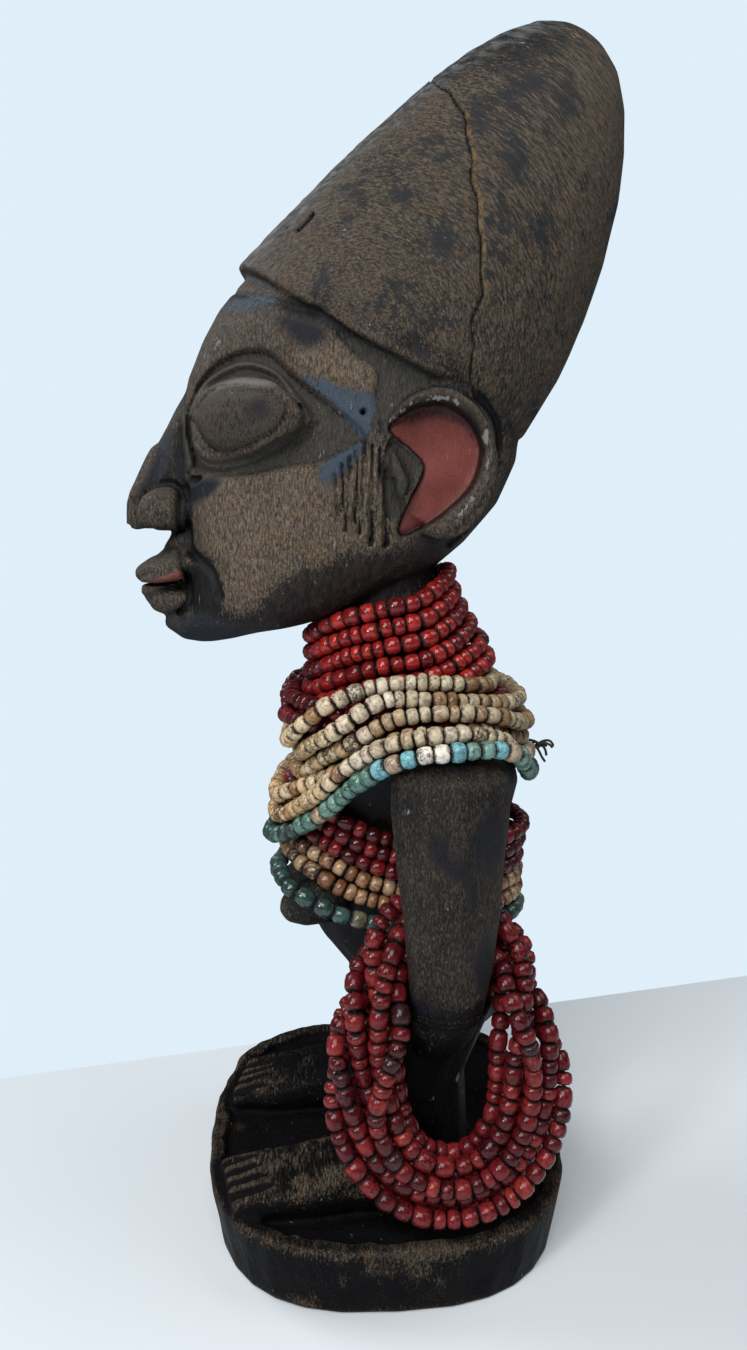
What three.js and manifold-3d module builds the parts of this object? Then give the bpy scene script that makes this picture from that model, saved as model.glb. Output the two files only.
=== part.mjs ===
// A carved wooden twin figure with a tall swept-back coiffure, hung with strings of glass beads.
// Millimetres, +Z up. The figure faces -Y and its left side is +X. The origin is on its underside, below
// the middle of the figure. The figure and its base are one block of wood, and each string of beads is a
// closed loop that lies on it.
import * as THREE from "three";
import { mergeVertices } from "three/addons/utils/BufferGeometryUtils.js";
import Module from "manifold-3d";

// Base
const BASE_WIDTH = 93; // side to side
const BASE_DEPTH = 89; // toes to heels
const BASE_THICKNESS = 17;
const BASE_SHIFT = -3.5; // the carver left the figure a little to the left of the block's middle
const BASE_TAPER = 0.94; // the underside is this much smaller than the top
const RIM_WIDTH = 4;
const RIM_HEIGHT = 2; // the rim stands this far over the hollowed floor

// Figure
const FIGURE_HEIGHT = 262; // from the top of the base to the tip of the coiffure
const FOOT_SPREAD = 20.5; // from the middle of the figure to the middle of a foot
const FOOT_LENGTH = 58;

// Strings of beads
const NECK_ROWS = 6;
const LOOSE_ROWS = 2;
const COLLAR_ROWS = ["1", "2", "3", "4", "5", "turquoise"]; // from the top
const CHEST_ROWS = ["red_1", "red_2", "red_3", "tan_1", "tan_2", "green"];
const WRIST_LOOPS = 8;
const BEAD_DIAMETER = 3.6;
const WRIST_BEAD_DIAMETER = 3.9;
const STRING_GAP = 0.45; // between neighbouring strings
const WOOD_GAP = 0.6; // between a string and the wood

// The carving is laid out in equal parts of the figure's height.
const PARTS_IN_HEIGHT = 262;
const unit = FIGURE_HEIGHT / PARTS_IN_HEIGHT;
const level = (partsUp) => BASE_THICKNESS + partsUp * unit;
const floorZ = BASE_THICKNESS - RIM_HEIGHT;

const wasm = await Module();
wasm.setup();

// A closed geometry as a solid that can be joined and cut
function solidOf(geometry) {
  const bare = geometry.clone();
  bare.deleteAttribute("normal");
  bare.deleteAttribute("uv");
  const merged = mergeVertices(bare, 1e-4);
  return new wasm.Manifold(
    new wasm.Mesh({
      numProp: 3,
      vertProperties: new Float32Array(merged.attributes.position.array),
      triVerts: new Uint32Array(merged.index.array),
    }),
  );
}

// A solid as a geometry
function geometryOf(solid) {
  const mesh = solid.getMesh();
  const positions = new Float32Array(mesh.numVert * 3);
  for (let i = 0; i < mesh.numVert; i++) {
    positions.set(mesh.vertProperties.subarray(i * mesh.numProp, i * mesh.numProp + 3), i * 3);
  }
  const geometry = new THREE.BufferGeometry();
  geometry.setAttribute("position", new THREE.BufferAttribute(positions, 3));
  geometry.setIndex(new THREE.BufferAttribute(new Uint32Array(mesh.triVerts), 1));
  geometry.computeVertexNormals();
  return geometry;
}

// Smooth sizes between stations: each row is a place along the form, then the sizes there.
function track(stations) {
  const stride = stations[0].length - 1;
  const places = new Float32Array(stations.map((row) => row[0]));
  const sizes = new Float32Array(stations.flatMap((row) => row.slice(1)));
  const curve = new THREE.CubicInterpolant(places, sizes, stride, new Float32Array(stride));
  const first = places[0];
  const last = places[places.length - 1];
  return (place) => Array.from(curve.evaluate(THREE.MathUtils.clamp(place, first, last)));
}

const bend = (value, exponent) => Math.sign(value) * Math.abs(value) ** exponent;
const joined = (solids) => solids.reduce((sum, solid) => sum.add(solid));
const bothSides = (make) => [make(1), make(-1)];

// A form carved round an axis: a closed cylinder whose every ring is set by section(t, c, s), where t runs
// from 0 to 1 along the axis, and c and s are the cosine and sine of the way round it.
function carve(sides, levels, section) {
  const geometry = new THREE.CylinderGeometry(1, 1, 1, sides, levels);
  const position = geometry.attributes.position;
  for (let i = 0; i < position.count; i++) {
    const x = position.getX(i);
    const z = position.getZ(i);
    const onRing = Math.hypot(x, z) > 0.5;
    const { centre, reach } = section(position.getY(i) + 0.5, x, -z);
    if (onRing) centre.add(reach);
    position.setXYZ(i, centre.x, centre.y, centre.z);
  }
  return solidOf(geometry);
}

// A form with level rings, such as a torso or a limb. Its stations give, at each height in parts: the
// middle across, the half width, the front, the back, and where it is widest. Strings keep clear of it.
const rests = []; // forms that strings lie against
function carveUpright({ stations, side = 1, sides, levels, squareness = 2 }) {
  const sizes = track(stations);
  const low = stations[0][0];
  const high = stations[stations.length - 1][0];
  const exponent = 2 / squareness;
  rests.push(uprightRest(sizes, side, squareness, low, high));
  return carve(sides, levels, (t, c, s) => {
    const crowded = t - Math.sin(2 * Math.PI * t) / (5 * Math.PI); // rings lie closer at both ends
    const partsUp = THREE.MathUtils.lerp(low, high, crowded);
    const [middle, halfWidth, front, back, widest] = sizes(partsUp);
    const depth = s < 0 ? widest - front : back - widest;
    const reach = new THREE.Vector3(bend(c, exponent) * halfWidth, bend(s, exponent) * depth, 0);
    return {
      centre: new THREE.Vector3(side * middle * unit, widest * unit, level(partsUp)),
      reach: reach.multiplyScalar(unit),
    };
  });
}

// Keeps the axis of a string its reach away from the surface of an upright form. The distance is taken
// level, and the way it changes around the point gives the true distance and the way out.
const SLOPE_STEP = 0.2; // how far apart the distance is compared
function uprightRest(sizes, side, squareness, low, high) {
  const levelDistance = (x, y, z) => {
    const nearest = THREE.MathUtils.clamp(z, level(low), level(high));
    const ring = sizes((nearest - BASE_THICKNESS) / unit).map((size) => size * unit);
    const [middle, halfWidth, front, back, widest] = ring;
    const dx = x - side * middle;
    const dy = y - widest;
    const depth = dy < 0 ? widest - front : back - widest;
    const powers = Math.abs(dx / halfWidth) ** squareness + Math.abs(dy / depth) ** squareness;
    const ratio = powers ** (1 / squareness);
    const beyond = Math.hypot(dx, dy) * (1 - 1 / ratio);
    return nearest === z ? beyond : Math.hypot(Math.max(beyond, 0), z - nearest);
  };
  return (point, reach) => {
    if (point.z < level(low) - reach || point.z > level(high) + reach) return;
    const { x, y, z } = point;
    const distance = levelDistance(x, y, z);
    if (distance > 2 * reach) return;
    const step = SLOPE_STEP;
    const slope = new THREE.Vector3(
      levelDistance(x + step, y, z) - levelDistance(x - step, y, z),
      levelDistance(x, y + step, z) - levelDistance(x, y - step, z),
      levelDistance(x, y, z + step) - levelDistance(x, y, z - step),
    ).divideScalar(2 * step);
    const steepness = Math.max(slope.length(), 1);
    const missing = reach - distance / steepness;
    if (missing > 0) point.addScaledVector(slope.normalize(), missing);
  };
}

// The same for a rounded lump
function lumpRest(halfSizes, place) {
  const middle = new THREE.Vector3(place[0] * unit, place[1] * unit, level(place[2]));
  const sizes = new THREE.Vector3(...halfSizes).multiplyScalar(unit);
  return (point, reach) => {
    const offset = point.clone().sub(middle);
    const ratio = offset.clone().divide(sizes.clone().addScalar(reach)).length();
    if (ratio < 1) point.copy(middle).addScaledVector(offset, 1 / ratio);
  };
}

// A rounded lump, such as an eye: a sphere stretched to its half sizes, turned and set in place
function lump(halfSizes, turn, place, sides = 12) {
  const geometry = new THREE.SphereGeometry(1, sides, Math.round(sides * 0.6));
  geometry.scale(...halfSizes.map((size) => size * unit));
  geometry.applyMatrix4(new THREE.Matrix4().makeRotationFromEuler(new THREE.Euler(...turn)));
  geometry.translate(place[0] * unit, place[1] * unit, level(place[2]));
  return solidOf(geometry);
}

// Base: a rounded square with a floor hollowed inside a low rim
const BASE_SQUARENESS = 2.7; // 2 is round
function basePrism(inset, low, high, taper) {
  const exponent = 2 / BASE_SQUARENESS;
  return carve(32, 1, (t, c, s) => {
    const size = t === 0 ? taper : 1;
    const halfWidth = (BASE_WIDTH / 2 - inset) * size;
    const halfDepth = (BASE_DEPTH / 2 - inset) * size;
    return {
      centre: new THREE.Vector3(BASE_SHIFT, 0, t === 0 ? low : high),
      reach: new THREE.Vector3(bend(c, exponent) * halfWidth, bend(s, exponent) * halfDepth, 0),
    };
  });
}
const block = basePrism(0, 0, BASE_THICKNESS, BASE_TAPER);
const floorHollow = basePrism(RIM_WIDTH, floorZ, BASE_THICKNESS + 1, 1);
const base = block.subtract(floorHollow);

// Feet: low wedges, notched between the toes
const TOE_Y = -41; // the tips of the toes, in parts
const TOE_SETBACK = 5; // the little toe lies this far behind the big one
const TOE_NOTCHES = [-5.4, -1.2, 3, 6.6]; // from the middle of the foot towards its outer side
const TOE_NOTCH = { radius: 1.1, length: 15, behindTip: 5.5, up: 6.2 };
const SOLE_SINK = 1; // the sole runs this far into the floor
const footSizes = track([
  // share of the length from the heel: half width, height over the floor
  [0, 7.5, 8],
  [0.3, 9, 15],
  [0.55, 9.5, 11],
  [0.8, 10, 8],
  [1, 9.5, 5.5],
]);
const toeTip = TOE_Y * unit;
function foot(side) {
  const wedge = carve(12, 6, (t, c, s) => {
    const [halfWidth, height] = footSizes(t).map((size) => size * unit);
    const outward = (side * c + 1) / 2;
    const y = toeTip + FOOT_LENGTH * (1 - t) + t ** 3 * outward * TOE_SETBACK * unit;
    return {
      centre: new THREE.Vector3(side * FOOT_SPREAD, y, floorZ + (height - SOLE_SINK) / 2),
      reach: new THREE.Vector3(bend(c, 0.7) * halfWidth, 0, (bend(s, 0.7) * (height + SOLE_SINK)) / 2),
    };
  });
  const notches = TOE_NOTCHES.map((x) => {
    const { radius, length, behindTip, up } = TOE_NOTCH;
    const notch = new THREE.ConeGeometry(radius * unit, length * unit, 4);
    notch.translate(side * (FOOT_SPREAD + x * unit), toeTip + behindTip * unit, floorZ + up * unit);
    return solidOf(notch);
  });
  return wedge.subtract(joined(notches));
}

// Legs: short, with bent knees. They stand on the feet and lean in to the hips.
// Stations here and below: height, middle, half width, front, back, widest
const footX = FOOT_SPREAD / unit;
const leg = (side) =>
  carveUpright({
    side,
    sides: 10,
    levels: 5,
    stations: [
      [0.5, footX, 7.6, 0, 17.5, 9],
      [9, footX, 8.2, -0.5, 18, 9],
      [17, footX - 1, 9.3, -4.5, 18, 7],
      [25, footX - 2.5, 9.8, -7.5, 17, 5],
      [33, 16, 10.8, -7.5, 20.5, 6],
      [43, 13.5, 11.4, -7, 26, 9.5],
    ],
  });

// Torso: hips, waist, chest and the slope of the shoulders
const torso = carveUpright({
  sides: 18,
  levels: 12,
  squareness: 2.15,
  stations: [
    [31, 0, 12.5, -1, 22.5, 10.5],
    [37, 0, 18.5, -6.8, 29.5, 11.5],
    [43, 0, 20.3, -8.8, 33, 11.5],
    [48.5, 0, 16.8, -9.3, 32.3, 11],
    [54, 0, 14.7, -14.6, 31, 9.5],
    [60, 0, 13.9, -18.8, 29.8, 8.5],
    [67, 0, 14, -20.5, 29.1, 8],
    [78, 0, 15, -20.2, 29.5, 8],
    [86, 0, 17.5, -19.2, 31, 8],
    [94, 0, 21.5, -18.6, 32.5, 9],
    [101, 0, 25.5, -18, 31, 10],
    [107, 0, 25, -17, 28.5, 10.5],
    [113, 0, 20, -15.8, 25, 8.5],
    [119, 0, 17, -14.5, 22.5, 5],
  ],
});

// Breasts: blunt wedges that point forward and a little out
const BREAST = { x: 8.6, y: -15.5, partsUp: 66.6, halfSizes: [6, 10.4, 6], droop: 0.22, turnOut: 0.12 };
function breast(side) {
  const place = [side * BREAST.x, BREAST.y, BREAST.partsUp];
  rests.push(lumpRest(BREAST.halfSizes, place));
  return lump(BREAST.halfSizes, [BREAST.droop, 0, side * BREAST.turnOut], place, 10);
}

// Arms: they hang straight from the shoulder, clear of the waist, and the hands meet the hips.
const arm = (side) =>
  carveUpright({
    side,
    sides: 12,
    levels: 8,
    stations: [
      [36, 25, 4.5, 5, 15, 10],
      [41, 27.5, 6, 4, 17.6, 10.9],
      [52, 30.8, 7, 3.2, 20.1, 11.7],
      [65, 32, 7.8, 1.9, 21.9, 11.9],
      [85, 32, 8.7, -0.3, 23.4, 11.6],
      [98, 31, 9.6, -1.4, 24.4, 11.5],
      [104, 29.5, 9.2, -0.5, 23.8, 11.5],
      [108, 27, 6.5, 2.5, 20.5, 11.5],
    ],
  });
const HAND = { x: 20.5, y: 10.5, partsUp: 42.5, halfSizes: [9.5, 6.5, 6] };
function hand(side) {
  const place = [side * HAND.x, HAND.y, HAND.partsUp];
  rests.push(lumpRest(HAND.halfSizes, place));
  return lump(HAND.halfSizes, [0, 0, 0], place, 8);
}

// Neck: a cone that leans forward
const neck = carveUpright({
  sides: 16,
  levels: 4,
  stations: [
    [101, 0, 20, -15.5, 26.5, 5.5],
    [113, 0, 17.3, -14.9, 23.2, 4.2],
    [124.5, 0, 16, -14.6, 20.6, 3],
    [136, 0, 15, -15, 14.2, -0.4],
    [148, 0, 14.5, -16, 11, -2.5],
  ],
});

// Head: jaw, cheeks and brow, up into the coiffure
const head = carveUpright({
  sides: 24,
  levels: 12,
  squareness: 2.15,
  stations: [
    [127.6, 0, 4, -45, -38.5, -42],
    [129.4, 0, 11.5, -49.2, -27, -35],
    [133, 0, 16.3, -50.3, -13.5, -27.5],
    [138, 0, 19.4, -47.5, 1.5, -21],
    [146, 0, 22.2, -45.6, 13.5, -14],
    [154.5, 0, 23.6, -45.2, 22.5, -8],
    [165, 0, 24.3, -45.3, 29, -3],
    [174, 0, 24.3, -46, 31, -1],
    [181.5, 0, 23.8, -46, 30.6, -1],
    [189, 0, 22.9, -43.2, 28, -3],
    [198, 0, 21.2, -38.8, 22, -6],
    [205, 0, 17, -33.2, 13, -9],
    [209, 0, 12, -29.5, 5, -12],
  ],
});

// Coiffure: a dome on a plane that slopes down to the nape
const HAIR_SLOPE = THREE.MathUtils.degToRad(29.4);
const HAIR = {
  y: -0.7, // the middle of its rim
  partsUp: 191.6,
  height: 81.3,
  halfLength: 37.2,
  halfWidth: 25.8,
  bow: 5.2, // how far the dome leans back in its middle
  dip: 3.3, // how far its rim dips over the ears
};
function hairPoint(t, c, s) {
  const rise = Math.min(t, 0.9985);
  const fade = (1 - rise ** 1.32) ** 0.46;
  const across = c * HAIR.halfWidth * (1 - rise ** 1.6) ** 0.5;
  const along = HAIR.bow * (1 - (1 - t) ** 3) + s * HAIR.halfLength * fade;
  const up = t * HAIR.height - HAIR.dip * c * c * (1 - t) ** 4;
  const y = HAIR.y + along * Math.cos(HAIR_SLOPE) + up * Math.sin(HAIR_SLOPE);
  const partsUp = HAIR.partsUp - along * Math.sin(HAIR_SLOPE) + up * Math.cos(HAIR_SLOPE);
  return new THREE.Vector3(across * unit, y * unit, level(partsUp));
}
const coiffure = carve(24, 9, (t, c, s) => {
  const rise = Math.sin((t * Math.PI) / 2) ** 0.95;
  const centre = hairPoint(rise, 0, 0);
  return { centre, reach: hairPoint(rise, c, s).sub(centre) };
});

// Nose: a wedge with a sharp ridge, cut off level below, and a wing on each side
const NOSE = { low: 150, high: 189, foot: 152.8, root: -38, rootDepth: 4 }; // buried behind the root
const NOSE_WING = { halfSizes: [4.4, 6.6, 4.9], x: 5.4, y: -49.2, partsUp: 157.3 };
function nose() {
  const ridge = track([
    // height: how far forward the ridge is, half width of the wedge
    [150, -58.8, 4.6],
    [158, -58.9, 4.4],
    [170, -53.2, 4.2],
    [182, -46.4, 4.6],
    [189, -41.5, 4],
  ]);
  const wedge = carve(8, 4, (t, c, s) => {
    const partsUp = THREE.MathUtils.lerp(NOSE.low, NOSE.high, t);
    const [front, halfWidth] = ridge(partsUp);
    const depth = s < 0 ? NOSE.root - front : NOSE.rootDepth;
    return {
      centre: new THREE.Vector3(0, NOSE.root * unit, level(partsUp)),
      reach: new THREE.Vector3(bend(c, 0.9) * halfWidth * unit, bend(s, 0.9) * depth * unit, 0),
    };
  });
  const { halfSizes, x, y, partsUp } = NOSE_WING;
  const wings = bothSides((side) => lump(halfSizes, [0, 0, 0], [side * x, y, partsUp], 8));
  const cut = { width: 40, depth: 30, height: 10 };
  const below = new THREE.BoxGeometry(cut.width * unit, cut.depth * unit, cut.height * unit);
  below.translate(0, -60 * unit, level(NOSE.foot - cut.height / 2));
  return joined([wedge, ...wings]).subtract(solidOf(below));
}

// Lips: they stand forward as two rolls, under a short upper lip. Each is its half sizes, turn and place.
const lips = [
  lump([11.8, 12.4, 4.1], [0.2, 0, 0], [0, -45.6, 145.2], 12),
  lump([10.8, 10.6, 3.7], [-0.12, 0, 0], [0, -45.4, 137.2], 12),
  lump([7, 7.6, 5.5], [0.5, 0, 0], [0, -44.6, 149.6], 8),
];

// Eyes: bulging almonds on the slant of the cheek
const eye = (side) => lump([13, 4.6, 8.6], [0.05, 0, side * 1.08], [side * 18.9, -29.7, 176], 12);

// Ears: a raised C with a sunk shell, which opens forward
const EAR_FACE = 27.4; // from the middle of the head to the rim of the ear
const EAR_DEPTH = 3;
function earShape(side, shape, low, high, curveSegments) {
  const settings = { depth: high - low, bevelEnabled: false, curveSegments };
  const geometry = new THREE.ExtrudeGeometry(shape, settings);
  const turn = new THREE.Matrix4().makeBasis(
    new THREE.Vector3(0, unit, 0),
    new THREE.Vector3(0, 0, unit),
    new THREE.Vector3(unit, 0, 0),
  );
  geometry.translate(0, 0, low).applyMatrix4(turn).translate(0, 0, BASE_THICKNESS);
  if (side < 0) {
    geometry.scale(-1, 1, 1);
    const order = [0, 2, 1]; // a mirrored face is turned back to face out
    const corners = Array.from({ length: geometry.attributes.position.count }, (_, i) => i);
    geometry.setIndex(corners.map((i) => i - (i % 3) + order[i % 3]));
  }
  return solidOf(geometry);
}
function ear(side) {
  const outline = new THREE.Shape();
  outline.absellipse(9.6, 166.6, 11.6, 15.4, 0, Math.PI * 2, false, 0.15);
  const shell = new THREE.Shape();
  shell.moveTo(-1.5, 174.5);
  shell.quadraticCurveTo(10, 182, 17, 171);
  shell.quadraticCurveTo(18, 161, 1.5, 151.5);
  shell.lineTo(4.2, 163);
  shell.closePath();
  return earShape(side, outline, 14, EAR_FACE, 8).subtract(
    earShape(side, shell, EAR_FACE - EAR_DEPTH, EAR_FACE + 2, 4),
  );
}

const figure = joined([
  base,
  ...bothSides(foot),
  ...bothSides(leg),
  torso,
  ...bothSides(breast),
  ...bothSides(arm),
  ...bothSides(hand),
  neck,
  head,
  nose(),
  ...lips,
  ...bothSides(eye),
  ...bothSides(ear),
  coiffure,
]);

const finish = (color, roughness) => new THREE.MeshStandardMaterial({ color, roughness, metalness: 0 });
const wood = finish(0x3a2d22, 0.75);
const glass = {
  brightRed: finish(0xa01a1c, 0.3),
  darkRed: finish(0x8c1719, 0.35),
  crimson: finish(0x8a1c20, 0.4),
  cream: finish(0xb5a488, 0.5),
  turquoise: finish(0x4f8f8c, 0.4),
  tan: finish(0x8a6f4c, 0.5),
  green: finish(0x2f4a40, 0.4),
};

// Strings of beads. Each starts as a loop of straight stretches laid roughly where it hangs. Then all of
// them are settled together: a worn one draws tight, each keeps its height, and they are moved apart and
// off the wood.
const strings = [];
function layString({ name, material, diameter = BEAD_DIAMETER, joints, tightness }, placeAt) {
  const points = Array.from({ length: joints }, (_, i) => {
    const [x, y, partsUp] = placeAt((2 * Math.PI * i) / joints);
    return new THREE.Vector3(x * unit, y * unit, level(partsUp));
  });
  strings.push({ name, material, diameter, points, tightness, homes: points.map((point) => point.z) });
}

// A worn row: its reach and height at the front, at the left, at the back and at the right, in parts
function wornRow({ front, left, back, right = left }) {
  return (angle) => {
    const c = Math.cos(angle);
    const s = Math.sin(angle);
    const [end, side] = [c > 0 ? front : back, s > 0 ? left : right];
    const middleY = 4;
    return [s * side[0], middleY + Math.abs(c) * (end[0] - middleY), c * c * end[1] + s * s * side[1]];
  };
}

// How far a row hangs below the first one, in parts, where the rows leave this much more room between them
const rowPitch = (BEAD_DIAMETER + STRING_GAP) / unit;
const drop = (row, room) => row * (rowPitch + room);

for (let row = 0; row < NECK_ROWS; row++) {
  const place = wornRow({
    front: [-17.5, 127.6 - drop(row, 0.1)],
    left: [18 + 0.5 * row, 135.3 - drop(row, 0.1)],
    back: [15.5 + 1.9 * row, 144 - drop(row, 0.05)],
  });
  const name = `neck_strand_${row + 1}`;
  layString({ name, material: glass.brightRed, joints: 16, tightness: 0.3 }, place);
}

// Two slack red rows hang slanting over the neck rows, low on the left, where the collar covers them.
for (let row = 0; row < LOOSE_ROWS; row++) {
  const place = wornRow({
    front: [-21.5 - 1.2 * row, 114 - drop(row, 0.05)],
    left: [24 + 4 * row, 111.8 - 1.6 * row],
    back: [28.5 + 1.5 * row, 114.5 - drop(row, 0.05)],
    right: [25, 121.5 - drop(row, 0.05)],
  });
  const name = `loose_strand_${row + 1}`;
  layString({ name, material: glass.darkRed, joints: 16, tightness: 0.15 }, place);
}

// The collar lies flat on the shoulders and hangs steeply in front and behind.
COLLAR_ROWS.forEach((rowName, row) => {
  const place = wornRow({
    front: [-24 - 0.6 * row, 104.3 - drop(row, 0.75)],
    left: [24 + 0.7 * drop(row, 0), 118.9 - 3.2 * row + 0.25 * row * row],
    back: [28 + 2.3 * row, 117.5 - drop(row, 0.25)],
  });
  const material = rowName === "turquoise" ? glass.turquoise : glass.cream;
  layString({ name: `collar_strand_${rowName}`, material, joints: 18, tightness: 0.15 }, place);
});

CHEST_ROWS.forEach((rowName, row) => {
  const place = wornRow({
    front: [-22.4, 95.6 - drop(row, 0)],
    left: [18.5, 83.2 - drop(row, 0.05)],
    back: [33, 83.5 - drop(row, 0.25)],
  });
  const material = { r: glass.darkRed, t: glass.tan, g: glass.green }[rowName[0]];
  layString({ name: `chest_strand_${rowName}`, material, joints: 16, tightness: 0.3 }, place);
});

// The long loops round the left wrist. Their tops are stacked in two layers between the arm and the waist,
// and their lower ends are heaped two abreast on the base, outside the leg.
const LOOP_TOP = { outerX: 21.5, innerX: 16.8, partsUp: 51.4 };
const LOOP_BELLY = { partsUp: 32, halfWidth: 30.5, narrowing: 2.5, outerX: 36, innerX: 31.5 };
const LOOP_FOOT = { x: 38.3, partsUp: 4 };
const LOOP_MIDDLE_Y = 12;
const INNER_LOOPS = [1, 3]; // these pass on the inner side, next to the waist
const loopPitch = (WRIST_BEAD_DIAMETER + STRING_GAP) / unit;
for (let loop = 0; loop < WRIST_LOOPS; loop++) {
  const inner = INNER_LOOPS.includes(loop);
  const outerBefore = loop - INNER_LOOPS.filter((other) => other < loop).length;
  const storey = inner ? INNER_LOOPS.indexOf(loop) : outerBefore;
  const top = LOOP_TOP.partsUp + 1.035 * loopPitch * storey;
  const heapRow = Math.floor(loop / 2);
  const foot = LOOP_FOOT.partsUp + 0.83 * loopPitch * heapRow;
  const footX = LOOP_FOOT.x - 0.94 * loopPitch * ((loop % 2) + (heapRow % 2) / 2);
  const topX = inner ? LOOP_TOP.innerX : LOOP_TOP.outerX;
  const bellyX = loop % 2 ? LOOP_BELLY.innerX : LOOP_BELLY.outerX;
  const halfWidth = LOOP_BELLY.halfWidth - LOOP_BELLY.narrowing * loop;
  const look = { material: glass.crimson, diameter: WRIST_BEAD_DIAMETER, joints: 18, tightness: 0.04 };
  layString({ name: `wrist_loop_${loop + 1}`, ...look }, (angle) => {
    const c = Math.cos(angle);
    const s = Math.sin(angle);
    const y = LOOP_MIDDLE_Y - bend(s, 0.85) * halfWidth;
    const rise = c > 0 ? top - LOOP_BELLY.partsUp : LOOP_BELLY.partsUp - foot;
    const partsUp = LOOP_BELLY.partsUp + c * rise;
    const fall = (top - partsUp) / (top - foot);
    const x = (1 - fall) ** 2 * topX + 2 * fall * (1 - fall) * bellyX + fall ** 2 * footX;
    return [x, y, partsUp];
  });
}

const SETTLE_ROUNDS = 200;
const LAST_ROUNDS = 120; // in these nothing is drawn tight, so that every gap is kept
const HEIGHT_HOLD = 0.3; // the share of its lost height that a joint regains in a round
const PUSH = 0.9; // the share of a missing gap that is opened in a round
const WOOD_SHARES = [0, 1 / 3, 2 / 3]; // places along a stretch that are kept off the wood

// A stretch runs from one joint to the next and shares them with its neighbours.
for (const string of strings) {
  const { points } = string;
  string.stretches = points.map((point, i) => new THREE.Line3(point, points[(i + 1) % points.length]));
}

// Moves a place of a stretch, at its share of the length, by moving the joints at its two ends
function shift(stretch, share, offset, amount) {
  const scale = amount / ((1 - share) ** 2 + share ** 2);
  stretch.start.addScaledVector(offset, (1 - share) * scale);
  stretch.end.addScaledVector(offset, share * scale);
}

const onHere = new THREE.Vector3();
const onThere = new THREE.Vector3();
const offset = new THREE.Vector3();
function moveApart(here, there, apart) {
  const distance = Math.sqrt(here.distanceSqToLine3(there, onHere, onThere));
  if (distance >= apart) return;
  const hereShare = onHere.distanceTo(here.start) / here.distance();
  const thereShare = onThere.distanceTo(there.start) / there.distance();
  const push = (PUSH * (apart - distance)) / distance / 2;
  offset.subVectors(onHere, onThere);
  shift(here, hereShare, offset, push);
  shift(there, thereShare, offset, -push);
}

function drawTight({ points, tightness, homes }) {
  const before = points.map((point) => point.clone());
  points.forEach((point, i) => {
    const previous = before[(i + points.length - 1) % points.length];
    const next = before[(i + 1) % points.length];
    offset.addVectors(previous, next).multiplyScalar(0.5).sub(before[i]);
    point.addScaledVector(offset, tightness);
    point.z += (homes[i] - point.z) * HEIGHT_HOLD;
  });
}

function keepOffWood({ stretches, diameter }) {
  const reach = diameter / 2 + WOOD_GAP;
  for (const stretch of stretches) {
    for (const share of WOOD_SHARES) {
      stretch.at(share, onHere);
      offset.copy(onHere).negate();
      for (const rest of rests) rest(onHere, reach);
      onHere.z = Math.max(onHere.z, BASE_THICKNESS + reach);
      shift(stretch, share, offset.add(onHere), 1);
    }
  }
}

const boxOf = ({ points, diameter }) => new THREE.Box3().setFromPoints(points).expandByScalar(diameter);
for (let round = 0; round < SETTLE_ROUNDS; round++) {
  if (round < SETTLE_ROUNDS - LAST_ROUNDS) strings.forEach(drawTight);
  const boxes = strings.map(boxOf);
  strings.forEach((string, i) => {
    strings.slice(i + 1).forEach((other, j) => {
      if (!boxes[i].intersectsBox(boxes[i + 1 + j])) return;
      const apart = (string.diameter + other.diameter) / 2 + STRING_GAP;
      for (const here of string.stretches) {
        for (const there of other.stretches) moveApart(here, there, apart);
      }
    });
  });
  strings.forEach(keepOffWood);
}

// A closed tube along the joints of a string
const STRING_SIDES = 5;
function stringGeometry({ points, diameter }) {
  const steps = points.length;
  const geometry = new THREE.TorusGeometry(2, 1, STRING_SIDES, steps);
  const position = geometry.attributes.position;
  const middle = points.reduce((sum, point) => sum.add(point), new THREE.Vector3()).divideScalar(steps);
  for (let i = 0; i < position.count; i++) {
    const joint = i % (steps + 1) % steps;
    const sideAngle = (2 * Math.PI * Math.floor(i / (steps + 1))) / STRING_SIDES;
    const along = points[(joint + 1) % steps].clone().sub(points[(joint + steps - 1) % steps]).normalize();
    const outward = points[joint].clone().sub(middle);
    outward.addScaledVector(along, -outward.dot(along)).normalize();
    const across = outward.clone().cross(along);
    const place = points[joint]
      .clone()
      .addScaledVector(outward, (Math.cos(sideAngle) * diameter) / 2)
      .addScaledVector(across, (Math.sin(sideAngle) * diameter) / 2);
    position.setXYZ(i, place.x, place.y, place.z);
  }
  return geometryOf(solidOf(geometry));
}

const group = new THREE.Group();
function addPiece(name, geometry, material) {
  const mesh = new THREE.Mesh(geometry, material);
  mesh.name = name;
  group.add(mesh);
}
addPiece("carved_figure", geometryOf(figure), wood);
strings.forEach((string) => addPiece(string.name, stringGeometry(string), string.material));

export default group;
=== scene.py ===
import math

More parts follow.
